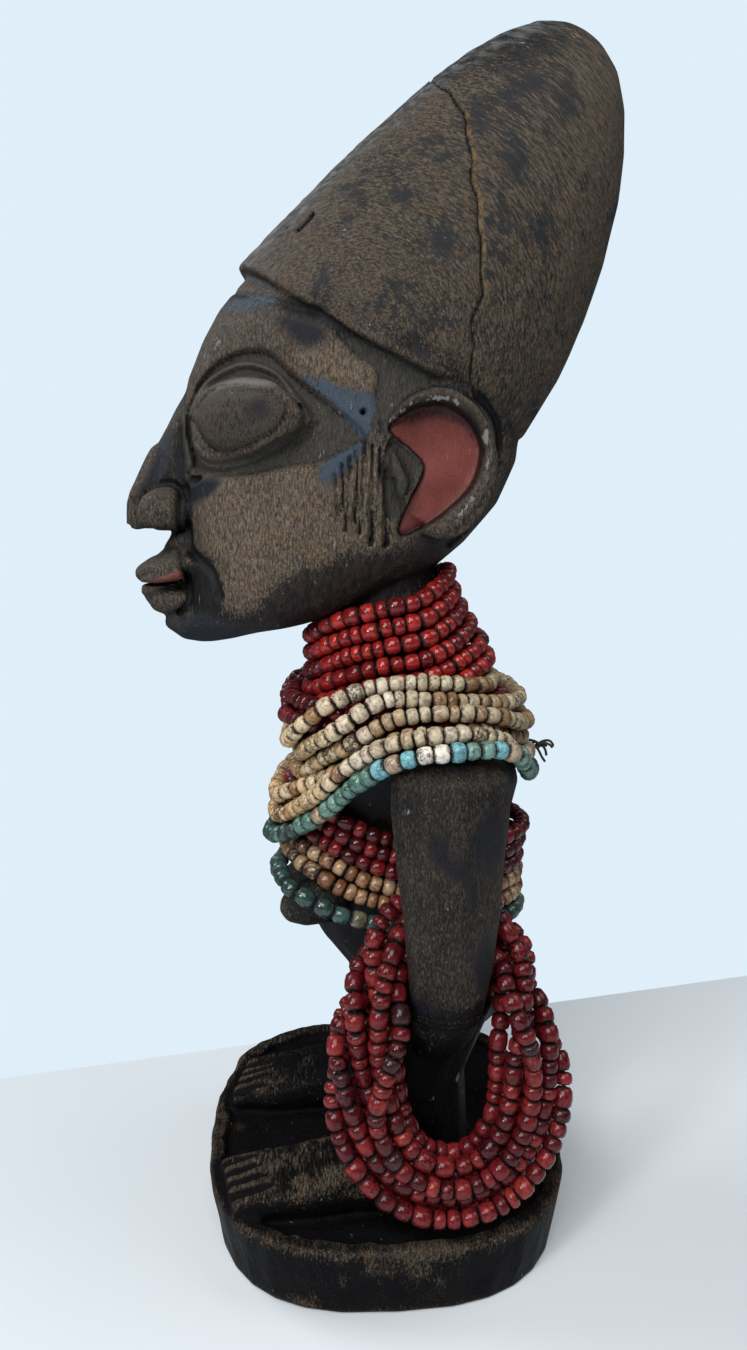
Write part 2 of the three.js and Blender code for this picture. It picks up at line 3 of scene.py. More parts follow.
import bpy
import numpy as np
import openvdb
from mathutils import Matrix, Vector


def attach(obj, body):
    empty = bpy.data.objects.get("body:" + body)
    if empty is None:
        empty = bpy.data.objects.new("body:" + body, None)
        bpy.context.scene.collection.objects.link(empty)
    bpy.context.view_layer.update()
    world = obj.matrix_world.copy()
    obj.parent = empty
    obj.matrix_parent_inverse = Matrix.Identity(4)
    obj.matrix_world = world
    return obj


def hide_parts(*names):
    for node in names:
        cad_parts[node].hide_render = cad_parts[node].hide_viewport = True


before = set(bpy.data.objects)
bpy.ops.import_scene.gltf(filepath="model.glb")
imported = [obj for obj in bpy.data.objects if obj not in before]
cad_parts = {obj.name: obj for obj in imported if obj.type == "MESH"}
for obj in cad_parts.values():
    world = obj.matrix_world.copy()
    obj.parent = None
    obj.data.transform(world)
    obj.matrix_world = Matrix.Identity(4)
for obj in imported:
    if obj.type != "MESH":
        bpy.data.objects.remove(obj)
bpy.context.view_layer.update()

# Camera: it stands close to the figure's left side and a little to the front, level with the nose, and
# looks slightly down. Its place and lens are those of a phone held near the figure.
CAMERA_PLACE = (0.22527, -0.01836, 0.1722)  # metres
CAMERA_BEARING = 86  # degrees: 0 looks along +Y and 90 along -X
CAMERA_PITCH = 9.17  # degrees down
LENS = 25.6  # millimetres
LONG_SIDE = 36  # of the picture behind this lens, in millimetres
NEAREST = 0.01  # metres in front of the lens

camera = bpy.data.objects.new("camera", bpy.data.cameras.new("camera"))
camera.data.lens = LENS
camera.data.sensor_width = LONG_SIDE
camera.data.clip_start = NEAREST
camera.location = CAMERA_PLACE
camera.rotation_euler = (math.radians(90 - CAMERA_PITCH), 0, math.radians(CAMERA_BEARING))
bpy.context.scene.collection.objects.link(camera)
bpy.context.scene.camera = camera
bpy.context.scene.view_settings.view_transform = "Standard"

# Floor and light: a plain pale floor under a pale sky, a broad soft light from above the camera and a weaker
# one from behind, a small one that gives the beads their highlights, and one from above and in front that
# edges the carving.
FLOOR_COLOR = (0.71, 0.75, 0.79, 1)
FLOOR_CORNERS = [(0.092, -0.9, 0), (1.2, -0.9, 0), (1.2, 0.9, 0), (-0.252, 0.9, 0)]
FLOOR_ROUGHNESS = 0.85
SKY_COLOR = (0.74, 0.86, 0.95, 1)
SKY_SEEN = 1.0  # how bright the sky looks, against how much light it casts
SKY_CAST = 0.14
FIGURE_MIDDLE = (0, 0, 0.14)
FACE_MIDDLE = (0, 0, 0.2)


class Nodes:
    """Adds nodes to a tree. An input is given by its name or number, as a value or as a node's output."""

    def __init__(self, tree):
        self.tree = tree
        tree.nodes.clear()

    def add(self, kind, inputs=None, **settings):
        node = self.tree.nodes.new(kind)
        for name, value in settings.items():
            setattr(node, name, value)
        for key, value in (inputs or {}).items():
            socket = node.inputs[key]
            if isinstance(value, bpy.types.Node):
                value = self.out(value)
            if isinstance(value, bpy.types.NodeSocket):
                self.tree.links.new(value, socket)
            else:
                socket.default_value = value
        return node

    @staticmethod
    def out(node, name=None):
        """A node's output by its name, or its first one that is in use."""
        shown = [socket for socket in node.outputs if socket.enabled]
        return next((socket for socket in shown if socket.name == name), None) if name else shown[0]

    def math(self, operation, *values):
        inputs = dict(enumerate(values))
        return self.add("ShaderNodeMath", inputs, operation=operation)

    def vector(self, operation, *values):
        inputs = dict(enumerate(values))
        return self.add("ShaderNodeVectorMath", inputs, operation=operation)

    def noise(self, vector, scale, detail=2.0, roughness=0.5, distortion=0.0):
        inputs = {"Vector": vector, "Scale": scale, "Detail": detail, "Roughness": roughness}
        node = self.add("ShaderNodeTexNoise", {**inputs, "Distortion": distortion})
        return self.out(node)

    def mix(self, share, first, second, blend="MIX"):
        node = self.add("ShaderNodeMix", {0: share}, data_type="RGBA", blend_type=blend)
        for number, value in ((6, first), (7, second)):
            if isinstance(value, (bpy.types.Node, bpy.types.NodeSocket)):
                source = self.out(value) if isinstance(value, bpy.types.Node) else value
                self.tree.links.new(source, node.inputs[number])
            else:
                node.inputs[number].default_value = value
        return node.outputs[2]

    def ramp(self, share, stops):
        """Colours, or grey levels, along a share from 0 to 1."""
        node = self.add("ShaderNodeValToRGB", {0: share})
        elements = node.color_ramp.elements
        while len(elements) < len(stops):
            elements.new(0.5)
        for element, (place, color) in zip(elements, stops):
            element.position = place
            element.color = color if isinstance(color, tuple) else (color, color, color, 1)
        return node.outputs[0]

    def tinted(self, color, tint):
        return self.mix(1.0, color, tint, "MULTIPLY")

    def swayed(self, value, noise, amount):
        """A value raised and lowered by a noise that runs from 0 to 1."""
        return self.math("MULTIPLY_ADD", self.math("SUBTRACT", noise, 0.5), amount, value)

    def stored(self, name):
        """A number kept on the corners of the mesh."""
        return self.add("ShaderNodeAttribute", attribute_name=name).outputs["Fac"]

    def surface(self, **inputs):
        shader = self.add("ShaderNodeBsdfPrincipled", inputs)
        self.add("ShaderNodeOutputMaterial", {"Surface": shader})


def material_nodes(name):
    material = bpy.data.materials.new(name)
    material.use_nodes = True
    return material, Nodes(material.node_tree)


def mesh_object(name, mesh):
    piece = bpy.data.objects.new(name, mesh)
    bpy.context.scene.collection.objects.link(piece)
    return piece


def area_light(name, place, target, size, power, color=(1, 1, 1)):
    light = bpy.data.objects.new(name, bpy.data.lights.new(name, "AREA"))
    light.data.size = size
    light.data.energy = power
    light.data.color = color
    light.location = place
    light.rotation_euler = (Vector(target) - Vector(place)).to_track_quat("-Z", "Y").to_euler()
    bpy.context.scene.collection.objects.link(light)


def darkened(color, share):
    return tuple(share * part for part in color[:3]) + (1,)


floor_mesh = bpy.data.meshes.new("floor")
floor_mesh.from_pydata(FLOOR_CORNERS, [], [(0, 1, 2, 3)])
floor = mesh_object("floor", floor_mesh)
floor_paint, nodes = material_nodes("pale_floor")
coordinates = nodes.add("ShaderNodeTexCoord").outputs["Object"]
floor_color = nodes.mix(nodes.noise(coordinates, 9, 3), FLOOR_COLOR, darkened(FLOOR_COLOR, 0.92))
nodes.surface(**{"Base Color": floor_color, "Roughness": FLOOR_ROUGHNESS})
floor_mesh.materials.append(floor_paint)

world = bpy.data.worlds.new("sky")
bpy.context.scene.world = world
world.use_nodes = True
nodes = Nodes(world.node_tree)
seen = nodes.add("ShaderNodeBackground", {"Color": SKY_COLOR, "Strength": SKY_SEEN})
cast = nodes.add("ShaderNodeBackground", {"Color": SKY_COLOR, "Strength": SKY_CAST})
is_seen = nodes.add("ShaderNodeLightPath").outputs["Is Camera Ray"]
sky = nodes.add("ShaderNodeMixShader", {0: is_seen, 1: cast, 2: seen})
nodes.add("ShaderNodeOutputWorld", {"Surface": sky})

area_light("broad_light", (0.62, -0.2, 0.8), FIGURE_MIDDLE, size=0.6, power=8, color=(1, 0.99, 0.97))
area_light("back_light", (0.1, 0.6, 0.9), FIGURE_MIDDLE, size=0.6, power=2.6)
area_light("highlight", (0.5, -0.42, 0.36), FIGURE_MIDDLE, size=0.1, power=1.6, color=(0.95, 0.98, 1))
area_light("edge_light", (-0.25, -0.6, 0.7), FACE_MIDDLE, size=0.4, power=3, color=(0.9, 0.96, 1))

# Carved figure: base, limbs, head and coiffure are one block of dense wood, cut with adze and knife, then
# stained nearly black and handled for years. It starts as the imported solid, held as a field of distances to
# its surface in millimetres, and the carving is cut into that field before it is meshed again.
MM = 0.001  # metres
VOXEL = 0.5  # millimetres
BAND = 7  # voxels of distance kept on each side of the surface
EMPTY_RIM = 2  # voxels round the grid
SHELL = 3.2  # millimetres from the surface that the carving reaches
MOST_FACES = 196000


def bare_triangles(node):
    """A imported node's corners in millimetres and its triangles, with shared corners merged."""
    mesh = node.data
    corners = np.empty(len(mesh.vertices) * 3, np.float32)
    mesh.vertices.foreach_get("co", corners)
    mesh.calc_loop_triangles()
    triangles = np.empty(len(mesh.loop_triangles) * 3, np.int32)
    mesh.loop_triangles.foreach_get("vertices", triangles)
    places = np.round(corners.reshape(-1, 3) / MM, 3)
    points, merged = np.unique(places, axis=0, return_inverse=True)
    triangles = merged.reshape(-1)[triangles].reshape(-1, 3)
    a, b, c = triangles.T
    return points, triangles[(a != b) & (b != c) & (a != c)]


def blurred(field, reach):
    """The mean over a box that runs this many voxels each way. The grid's rim is empty, so it may wrap."""
    for axis in range(3):
        field = sum(np.roll(field, shift, axis) for shift in range(-reach, reach + 1)) / (2 * reach + 1)
    return field


points, triangles = bare_triangles(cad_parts["carved_figure"])
grid_scale = openvdb.createLinearTransform(voxelSize=VOXEL)
level_set = openvdb.FloatGrid.createLevelSetFromPolygons(
    points.astype(np.float64), triangles=triangles.astype(np.uint32), transform=grid_scale, halfWidth=BAND
)
first, last = level_set.evalActiveVoxelBoundingBox()
first = [corner - EMPTY_RIM for corner in first]
field = np.empty([high - low + EMPTY_RIM + 1 for low, high in zip(first, last)], np.float32)
level_set.copyToArray(field, ijk=tuple(first))
field = blurred(blurred(field, 1), 1)

near = np.nonzero(np.abs(field) < SHELL)
near_x, near_y, near_z = [((index + low) * VOXEL).astype(np.float32) for index, low in zip(near, first)]
cut = np.zeros(len(near_x), np.float32)  # how deep the knife goes at each place


def smooth_line(points, closed=False, steps=6):
    """Points along a smooth curve through the given ones."""
    points = np.array(points, float)
    count = len(points)
    ring = np.arange(-1, count + 2)
    ring = ring % count if closed else np.clip(ring, 0, count - 1)
    t = (np.arange(steps) / steps)[:, None]
    pieces = []
    for i in range(count if closed else count - 1):
        a, b, c, d = points[ring[i : i + 4]]
        bend = 2 * a - 5 * b + 4 * c - d
        twist = 3 * b - a - 3 * c + d
        pieces.append(0.5 * (2 * b + (c - a) * t + bend * t**2 + twist * t**3))
    pieces.append(points[:1] if closed else points[-1:])
    return np.concatenate(pieces)


def line_offset(line, u, v):
    """The distance from each place to a line of short stretches, and on which side of it the place lies."""
    best = np.full(len(u), 1e9)
    side = np.ones(len(u))
    for (u0, v0), (u1, v1) in zip(line[:-1], line[1:]):
        du, dv = u1 - u0, v1 - v0
        share = np.clip(((u - u0) * du + (v - v0) * dv) / max(du * du + dv * dv, 1e-9), 0, 1)
        away = (u - u0 - share * du) ** 2 + (v - v0 - share * dv) ** 2
        nearer = away < best
        side = np.where(nearer, np.sign(du * (v - v0) - dv * (u - u0)), side)
        best = np.where(nearer, away, best)
    return np.sqrt(best), side


def depth_inside(outline, u, v):
    """How far each place lies inside a closed outline, negative outside it."""
    line = smooth_line(outline, closed=True)
    inside = np.zeros(len(u), bool)
    for (u0, v0), (u1, v1) in zip(line[:-1], line[1:]):
        crosses = (v0 > v) != (v1 > v)
        inside ^= crosses & (u < (u1 - u0) * (v - v0) / (v1 - v0 + 1e-12) + u0)
    distance = line_offset(line, u, v)[0]
    return np.where(inside, distance, -distance)


def rising(value, low, high):
    """0 below low, 1 above high, and smooth between."""
    share = np.clip((value - low) / (high - low), 0, 1)
    return share * share * (3 - 2 * share)


def lattice_noise(seed, *places):
    """Smooth noise from -1 to 1, with one random value at each whole place."""
    table = np.random.default_rng(seed).uniform(-1, 1, 4096).astype(np.float32)
    primes = (73856093, 19349663, 83492791)
    cells = [np.floor(place).astype(np.int64) for place in places]
    shares = [(place - cell).astype(np.float32) for place, cell in zip(places, cells)]
    shares = [share * share * (3 - 2 * share) for share in shares]
    total = np.zeros(len(places[0]), np.float32)
    for corner in range(2 ** len(places)):
        steps = [corner >> axis & 1 for axis in range(len(places))]
        weight = np.ones_like(total)
        key = np.zeros(len(total), np.int64)
        for cell, share, step, prime in zip(cells, shares, steps, primes):
            weight *= share if step else 1 - share
            key ^= (cell + step) * prime
        total += weight * table[key % 4096]
    return total


def picked(outline, margin, least=3.0, most=99.0, side=0, top=False):
    """The places near the surface round an outline drawn as seen from the side, on both sides unless one is
    named, or from the top, with their two coordinates in that view."""
    if top:
        u, v, across = near_x, near_y, near_z
    else:
        u, v, across = near_y, near_z, near_x * side if side else np.abs(near_x)
    (low_u, low_v), (high_u, high_v) = np.min(outline, axis=0) - margin, np.max(outline, axis=0) + margin
    within = (u > low_u) & (u < high_u) & (v > low_v) & (v < high_v) & (across > least) & (across < most)
    chosen = np.flatnonzero(within)
    return chosen, u[chosen], v[chosen]


def groove(points, width, depth, sharp=1.0, **where):
    """A knife cut along a line, or a ridge where the depth is negative."""
    line = smooth_line(points)
    chosen, u, v = picked(line, width, **where)
    cut[chosen] += depth * rising(1 - line_offset(line, u, v)[0] / width, 0, 1) ** sharp


def hollow(outline, depth, edge, keep=None, **where):
    """Lowers what an outline encloses, apart from what another one keeps."""
    chosen, u, v = picked(outline, edge, **where)
    share = rising(depth_inside(outline, u, v), -edge / 2, edge / 2)
    if keep:
        share *= 1 - rising(depth_inside(keep, u, v), -edge / 2, edge / 2)
    cut[chosen] += depth * share


# Eye: a sunk almond with a sharp outer corner, in it a fold of skin, a lid with a raised rim, and the ball.
# Places are (y, z) in millimetres, as seen from the left side.
BROW = [
    (-43.8, 194.4), (-42.7, 197), (-39.9, 201.6), (-35.4, 205.1), (-30.1, 206.6), (-25.3, 205.7),
    (-21.1, 201.7), (-15.4, 197), (-10.1, 193), (-6.8, 190),
]
CHEEK_TOP = [
    (-6.6, 188.4), (-11.7, 185.7), (-16.6, 183.9), (-22, 183), (-30.6, 181.4), (-38.6, 181.2),
    (-42.2, 182.4), (-43.6, 188),
]
UPPER_FOLD = [
    (-43.2, 195), (-40.3, 199.9), (-35.5, 203), (-30.1, 204.2), (-24.8, 202.4), (-21.8, 199.3),
    (-18.8, 195.8),
]
LOWER_FOLD = [
    (-16.2, 192.4), (-18.6, 190.4), (-24, 186.8), (-29.3, 184.5), (-34.6, 183.4), (-40, 184.2),
    (-43, 189.3),
]
LID_RIM = [
    (-42.4, 196), (-39.9, 199.3), (-35, 200.9), (-30.6, 201.3), (-25.9, 200.4), (-21.7, 198), (-17, 192.6)
]
LOWER_RIM = [(-24, 188.4), (-30.4, 185.4), (-36, 184.6), (-40.3, 185.6), (-42.8, 189.6)]
EYEBALL = [
    (-42.1, 193.2), (-40.8, 196.3), (-37.8, 198.6), (-34.4, 199.4), (-30.5, 199), (-26.9, 198.2),
    (-23.8, 196.4), (-21.6, 194.2), (-23.9, 190.2), (-28.1, 187.8), (-32.3, 186.5), (-36, 186.4),
    (-38.2, 187.7), (-40.3, 190.1),
]
hollow(BROW + CHEEK_TOP, 1.7, 1.8, keep=UPPER_FOLD + LOWER_FOLD)
groove(BROW + CHEEK_TOP[:3], 0.9, 0.6)
hollow(UPPER_FOLD + LOWER_FOLD, 1.0, 0.9, keep=LID_RIM + LOWER_RIM)
groove(UPPER_FOLD, 0.8, -1.0)
groove([(y, z - 1.3) for y, z in UPPER_FOLD], 0.7, 0.7)
groove(LOWER_FOLD, 0.7, -0.6)
groove(LID_RIM + LOWER_RIM, 0.7, -0.4)
groove(EYEBALL + EYEBALL[:1], 0.8, 0.85)
hollow(EYEBALL, -0.7, 4)

# Forehead and the coiffure's edge: a step at the front, then a smooth valley down to the ear.
HAIRLINE = [
    (-33, 221), (-31.6, 219.6), (-25.7, 217), (-21, 215.4), (-15.2, 213.7), (-10.5, 211.2), (-5.2, 208.7),
    (1.8, 206), (8.3, 203.2), (15.4, 200.2), (18.3, 197.4),
]
VALLEY = [
    (-10.6, 209.5), (-2.7, 206.4), (8, 201.9), (15, 199.4), (10.7, 199.9), (3.8, 197.8), (0, 194.1),
    (-2.2, 189.5), (-4, 196), (-3.6, 202.2), (-8, 205.3),
]
groove(HAIRLINE[:5], 1.2, 0.4, least=0)
HAIR_DIP = [
    (-15, 214), (-4, 208.6), (8, 203.6), (17, 199.6), (18, 202.6), (8, 207), (-4, 212), (-15, 216.6)
]
hollow(HAIR_DIP, 0.7, 3, least=0)
hollow(VALLEY, 0.9, 2.4)
groove([(17.8, 197.8), (21.7, 194.2), (23.4, 189), (22.2, 181), (19, 172.8), (13.4, 167)], 1.6, 1.3)

# Nose, mouth and chin: the nose is a thin ridge with separate wings cut off flat below, and the lips are
# two wedges that stand clear of the cheeks.
WING = [
    (-55.9, 170), (-55.4, 175.6), (-53.9, 178.6), (-50.7, 180.3), (-47.7, 180.1), (-46, 177.8),
    (-46.2, 170),
]
groove([(-44.8, 196.6), (-44, 194), (-43.5, 189.8), (-42.3, 184.5), (-45, 181.4)], 0.8, 0.6, least=4)
groove(WING[:3], 0.7, 0.5, least=3)
groove(WING[2:], 1.0, 1.3, least=2.5)
hollow(WING, -0.7, 2.5, least=4)
NOSE_BRIDGE = [(-58, 178.6), (-53.4, 188), (-50.5, 187), (-54.8, 178)]
hollow(NOSE_BRIDGE, -1.0, 1.8, least=-1, most=3.4)
NOSE_TIP = [(-60.5, 170.5), (-60, 175.5), (-56, 180.5), (-54.8, 177.5), (-55.8, 170.5)]
hollow(NOSE_TIP, -0.72, 1.6, least=-1, most=3.2)
NOSE_UNDERSIDE = [(-62, 170.9), (-52, 170.8), (-46, 170.8), (-46, 166), (-62, 166)]
hollow(NOSE_UNDERSIDE, 0.6, 0.6, least=-1, most=12)
TEAR_NOTCH = [(-45, 181), (-43.6, 180), (-41, 180.7), (-41.1, 181.6), (-43.4, 181.7)]
hollow(TEAR_NOTCH, 1.8, 0.8, least=6)
SMILE_LINE = [
    (-44.9, 179), (-44.5, 173), (-44.1, 168.7), (-43.9, 165.5), (-41, 163.4), (-38.4, 160.8), (-36.9, 156)
]
groove(SMILE_LINE, 1.5, 0.8)
LIPS = [(-56, 157), (-54.6, 159.4), (-50, 160), (-46, 161), (-45, 158.8), (-50, 157.2), (-55, 155.6)]
hollow(LIPS, -1.2, 1.2, least=-1, most=15)
LIP_GAP = [(-58.5, 157.8), (-54, 158), (-50.2, 158.1), (-46, 159)]
groove(LIP_GAP, 0.6, 1.7, least=-1)
groove([(-46.2, 166.2), (-45.2, 162), (-44.3, 158), (-44.2, 154.8), (-46.6, 151.8)], 1.3, 1.1)
CHIN_BALL = [(-55.5, 152), (-53.5, 150), (-52, 146.5), (-47, 144), (-45, 148), (-51, 153)]
hollow(CHIN_BALL, -0.9, 3, least=-1, most=9)

# Ears: a raised rim round a bowl that is painted red, behind a flat black wedge. In front of each ear a row
# of short upright knife cuts runs across the cheek, given as (y, low z, high z).
EAR_RIM = [
    (-0.9, 192.4), (2, 195.3), (6.4, 197.2), (11, 197.3), (15.5, 194.6), (18.5, 190.4), (19.4, 185.6),
    (18.4, 179.2), (14.4, 173.4), (9, 169),
]
EAR_BOWL = [
    (-0.9, 191.2), (2.5, 193.9), (6.7, 195.5), (11, 195.2), (15.3, 192.3), (17.6, 188.3), (17.9, 184.7),
    (16, 179.1), (10.9, 174), (4.8, 170), (2.1, 169.1), (1.2, 170.4), (2.8, 175.2), (6.2, 182.5),
    (3.8, 186.2), (-0.2, 189.4),
]
TRAGUS = [
    (-0.7, 188.6), (2.5, 186.5), (5.6, 183.6), (4.8, 180.4), (2.3, 176.2), (1, 171.4), (-1.6, 174),
    (-2.4, 180.4), (-2, 185.6),
]
hollow(EAR_BOWL, 1.7, 0.8, least=18)
hollow(TRAGUS, 1.1, 0.8, least=18)
groove(EAR_RIM, 1.2, -0.6, least=18)
groove(EAR_BOWL, 0.8, 0.4, least=18)
CHEEK_CUTS = [
    (-11.9, 172, 181.4), (-10.7, 174, 183.4), (-9.6, 170, 184.6), (-8.6, 172.6, 185.2),
    (-7.8, 171.6, 186.6), (-6.6, 169.4, 188.2), (-5.5, 173, 187.9), (-4.6, 167.2, 187.4),
    (-3.5, 168, 186.6), (-2.4, 170.6, 184), (-1.6, 166.8, 182.4), (-0.6, 167, 180.4),
]
for rank, (y, low_z, high_z) in enumerate(CHEEK_CUTS):
    lean = 0.4 * (rank % 3) - 0.3
    depth = 0.9 + 0.35 * (rank * 5 % 3)
    groove([(y - lean, low_z), (y + 0.3, (low_z + high_z) / 2), (y + lean, high_z)], 0.75, depth)

# Coiffure: a drying crack runs down its left side, and two short slots lie near its front edge. A nail hole
# sits in the painted temple below.
CRACK = [
    (9.4, 265.4), (10.3, 261.4), (12, 259.2), (13.2, 256.4), (14.9, 252.6), (14.9, 248.6), (15.8, 244.1),
    (15.6, 239.4), (16.8, 235.6), (16.8, 231.2), (17.6, 226.8), (17.4, 222.4), (17.9, 217), (15.7, 211.8),
    (16.3, 207.3), (15.9, 203.3), (16.6, 198.4), (18.2, 196.4),
]
groove(CRACK[:13], 0.52, 1.0, sharp=1.4, least=0, side=1)
groove(CRACK[12:], 0.45, 0.7, sharp=1.4, side=1)
groove([(-19.2, 231.3), (-17.5, 232.8), (-15.9, 234.6)], 0.65, 1.2, side=1)
groove([(-23, 230.8), (-22, 231.6), (-21.2, 232.7)], 0.5, 0.7, side=1)
NAIL_HOLE = (-6.3, 194)
NAIL_RADIUS = 0.7
quarter_turns = (0, 1.57, 3.14, 4.71)
hole_y = [NAIL_HOLE[0] + NAIL_RADIUS * math.cos(turn) for turn in quarter_turns]
hole_z = [NAIL_HOLE[1] + NAIL_RADIUS * math.sin(turn) for turn in quarter_turns]
hollow(list(zip(hole_y, hole_z)), 1.8, 0.5, side=1)

# Wrist: a band of fine cut lines above the hand, which is dark.
WRIST_LINES = (66.9, 65.5, 64.2)  # heights
for z in WRIST_LINES:
    groove([(1.5, z + 0.4), (10, z), (19.5, z - 0.3)], 0.5, 0.45, least=24)

# Feet, as seen from above: wedges cut the toes apart on both feet. A gap is given by its front end, (x, y),
# and a wedge by its reach towards the back and its width.
TOE_GAPS = [(14.6, -40.5), (18.4, -39), (22.2, -37.6), (25.9, -36)]
TOE_WEDGES = [(8.5, 0.9), (6, 1.5), (3.4, 2.0)]
TOE_DEPTH = 0.95  # of each wedge
for x, y in TOE_GAPS:
    for side in (1, -1):
        for reach, width in TOE_WEDGES:
            gap = [(side * x, y - 2), (side * x, y + reach)]
            groove(gap, width, TOE_DEPTH, least=19, most=32, top=True)

# Adze and knife leave the wood slightly uneven, in strokes along the grain, which runs upright. The base is
# rougher, and chipped along its rim. Depths are in millimetres.
STROKE_DEPTH = 0.2
BASE_STROKE_DEPTH = 0.25
FACET_DEPTH = 0.09
CHIP_DEPTH = 0.9
off_floor = rising(near_z, 1, 6)
cut += STROKE_DEPTH * off_floor * lattice_noise(1, near_x / 6, near_y / 6, near_z / 11)
rough = off_floor * (1 - rising(near_z, 17, 24))
cut += BASE_STROKE_DEPTH * rough * lattice_noise(2, near_x / 3.2, near_y / 3.2, near_z / 7)
ahead = near_z - 0.9 * near_y  # large on the coiffure's front slope
facets = rising(ahead, 222, 236) * rising(near_z, 224, 230)
knife_strokes = lattice_noise(4, (near_y + near_z) / 1.8, (near_z - near_y) / 16, near_x / 7)
cut += FACET_DEPTH * facets * (1 + knife_strokes)
chips = rising(lattice_noise(3, near_x / 4, near_y / 4, near_z / 40), 0.35, 0.8)
chip_depth = CHIP_DEPTH - 0.5 * rising(near_x, -10, 10)
cut += chip_depth * chips * rising(near_z, 14.5, 17) * (1 - rising(near_z, 20, 23))

field[near] += cut
edges = blurred(blurred(field, 3), 3) - field  # above 0 on edges, below 0 in hollows

carved = openvdb.FloatGrid(background=BAND * VOXEL)
carved.copyFromArray(field, ijk=tuple(first))
carved.transform = grid_scale
places, quads = carved.convertToQuads(0)
figure_mesh = bpy.data.meshes.new("wooden_figure")
figure_mesh.vertices.add(len(places))
figure_mesh.vertices.foreach_set("co", (places * MM).astype(np.float32).ravel())
figure_mesh.loops.add(quads.size)
figure_mesh.loops.foreach_set("vertex_index", quads[:, ::-1].astype(np.int32).ravel())
figure_mesh.polygons.add(len(quads))
figure_mesh.polygons.foreach_set("loop_start", np.arange(len(quads), dtype=np.int32) * 4)
figure_mesh.update(calc_edges=True)
figure_mesh.validate()
wooden_figure = mesh_object("wooden_figure", figure_mesh)


def applied(piece):
    """The piece's mesh with its modifiers in it."""
    graph = bpy.context.evaluated_depsgraph_get()
    mesh = bpy.data.meshes.new_from_object(piece.evaluated_get(graph))
    piece.modifiers.clear()
    piece.data = mesh
    return mesh


thinner = wooden_figure.modifiers.new("thinner", "DECIMATE")
thinner.ratio = MOST_FACES / (2 * len(quads))
figure_mesh = applied(wooden_figure)

# What is stained, worn or painted where, as numbers on the corners of the mesh. A patch is 0.5 along its
# edge, which the material then frays. The base isn't level, and its top rises a little at the right.
RIGHT_RISE = 3.2  # millimetres
places = np.empty(len(figure_mesh.vertices) * 3, np.float32)
figure_mesh.vertices.foreach_get("co", places)
places = places.reshape(-1, 3) / MM
x, y, z = places.T
side_x = np.abs(x)
raised = z + RIGHT_RISE * rising(-x, 24, 36) * rising(z, 8, 18) * (1 - rising(z, 24, 40))
figure_mesh.vertices.foreach_set("co", (np.column_stack([x, y, raised]) * MM).astype(np.float32).ravel())


def patch(outline, reach, least=4.0):
    """A patch drawn as seen from the side, from 0 well outside it to 1 well inside it."""
    shown = np.clip(0.5 + depth_inside(outline, y, z) / (2 * reach), 0, 1)
    return np.where(side_x > least, shown, 0)


def store(name, values):
    layer = figure_mesh.attributes.new(name, "FLOAT", "POINT")
    layer.data.foreach_set("value", np.asarray(values, np.float32))


def ragged(low, high, value, step):
    """0 below low and 1 above high, with an uneven edge between."""
    return rising(value + 1.2 * lattice_noise(9, x / step, y / step, z / step), low, high)


indexes = np.clip(np.round(places / VOXEL).astype(int) - np.array(first), 0, np.array(edges.shape) - 1)
store("edge", edges[tuple(indexes.T)])

# How bare the wood is, from 0 where the stain has kept to 1: most on the face and the coiffure, less on the
# arms, and least below them, apart from the feet and the side of the base. Painted light and shade are mixed
# into it too: the coiffure's back is lighter and the base's back darker.
FACE = [
    (-42.5, 213), (-34, 217), (-25.7, 216), (-20.5, 213.6), (-12.6, 211), (-7, 206.6), (-3.4, 202.6),
    (-3, 195), (-3, 188), (-1, 178), (-0.4, 167.4), (-8, 165), (-16.3, 162.6), (-21.7, 159.8),
    (-26.7, 156), (-31.3, 152.6), (-36.4, 153.8), (-37.6, 157), (-38.2, 162.4), (-43, 167), (-44.4, 175),
    (-44.6, 183), (-46.5, 196),
]
COIFFURE = [
    (-36, 223.4), (-31.6, 220), (-25.7, 217.4), (-15.2, 214.2), (-5.2, 209.2), (2, 206.6), (10, 203),
    (18.3, 199.4), (24, 196), (34, 186), (70, 200), (70, 290), (10, 300), (-50, 240),
]
hair = patch(COIFFURE, 1.5, least=0)
store("hair", hair)
arm = rising(side_x, 23, 25) * ragged(69, 70.5, z, 4) * (1 - rising(z, 120, 126))
FRONT = [
    (-62, 168), (-58, 182), (-46, 201), (-43, 196), (-43.5, 168), (-42.5, 152), (-52, 143), (-60, 155)
]
NAPE = [(-2, 199), (8, 201), (17, 199.5), (24, 196), (32, 190), (20, 172), (9, 165), (1, 167), (3, 180)]
MOUTH_CORNER = [
    (-43.9, 166), (-39.3, 164), (-36.6, 158.6), (-36.2, 155.8), (-38.5, 152.4), (-42, 152),
    (-44.3, 155.8), (-44.8, 161.5),
]
light = 0.03 + 0.36 * np.maximum(patch(FRONT, 2.5, least=-1), patch(NAPE, 2, least=0))
# Painted light: the coiffure is made lighter towards its back, where the light falls; it is darker at the
# tip.
hair_light = 0.63 + 0.3 * rising(y, 28, 46) + 0.12 * rising(-y, 0, 20) - 0.46 * rising(z, 258, 271)
light = np.maximum(light, hair_light * hair)
light = np.maximum(light, 0.88 * patch(FACE, 2.5))
light = np.maximum(light, (0.5 - 0.12 * rising(z, 95, 115)) * arm)
store("arm", arm)
light = np.maximum(light, 0.25 * ragged(150, 154, z - 0.2 * y, 5) * (y > 0))
light = np.minimum(light, 1 - 0.4 * patch(EYEBALL, 1))
ear_rim = np.clip(1.7 - line_offset(smooth_line(EAR_RIM), y, z)[0] / 1.5, 0, 1) * (side_x > 18)
light = light * (1 - 0.4 * ear_rim) - 0.5 * patch(MOUTH_CORNER, 1.6, least=8)
uneven = lattice_noise(11, x / 10, y / 10, z / 12) + 0.4 * lattice_noise(12, x / 3, y / 3, z / 4)
bare_patches = rising(uneven, 0.2, 0.75)
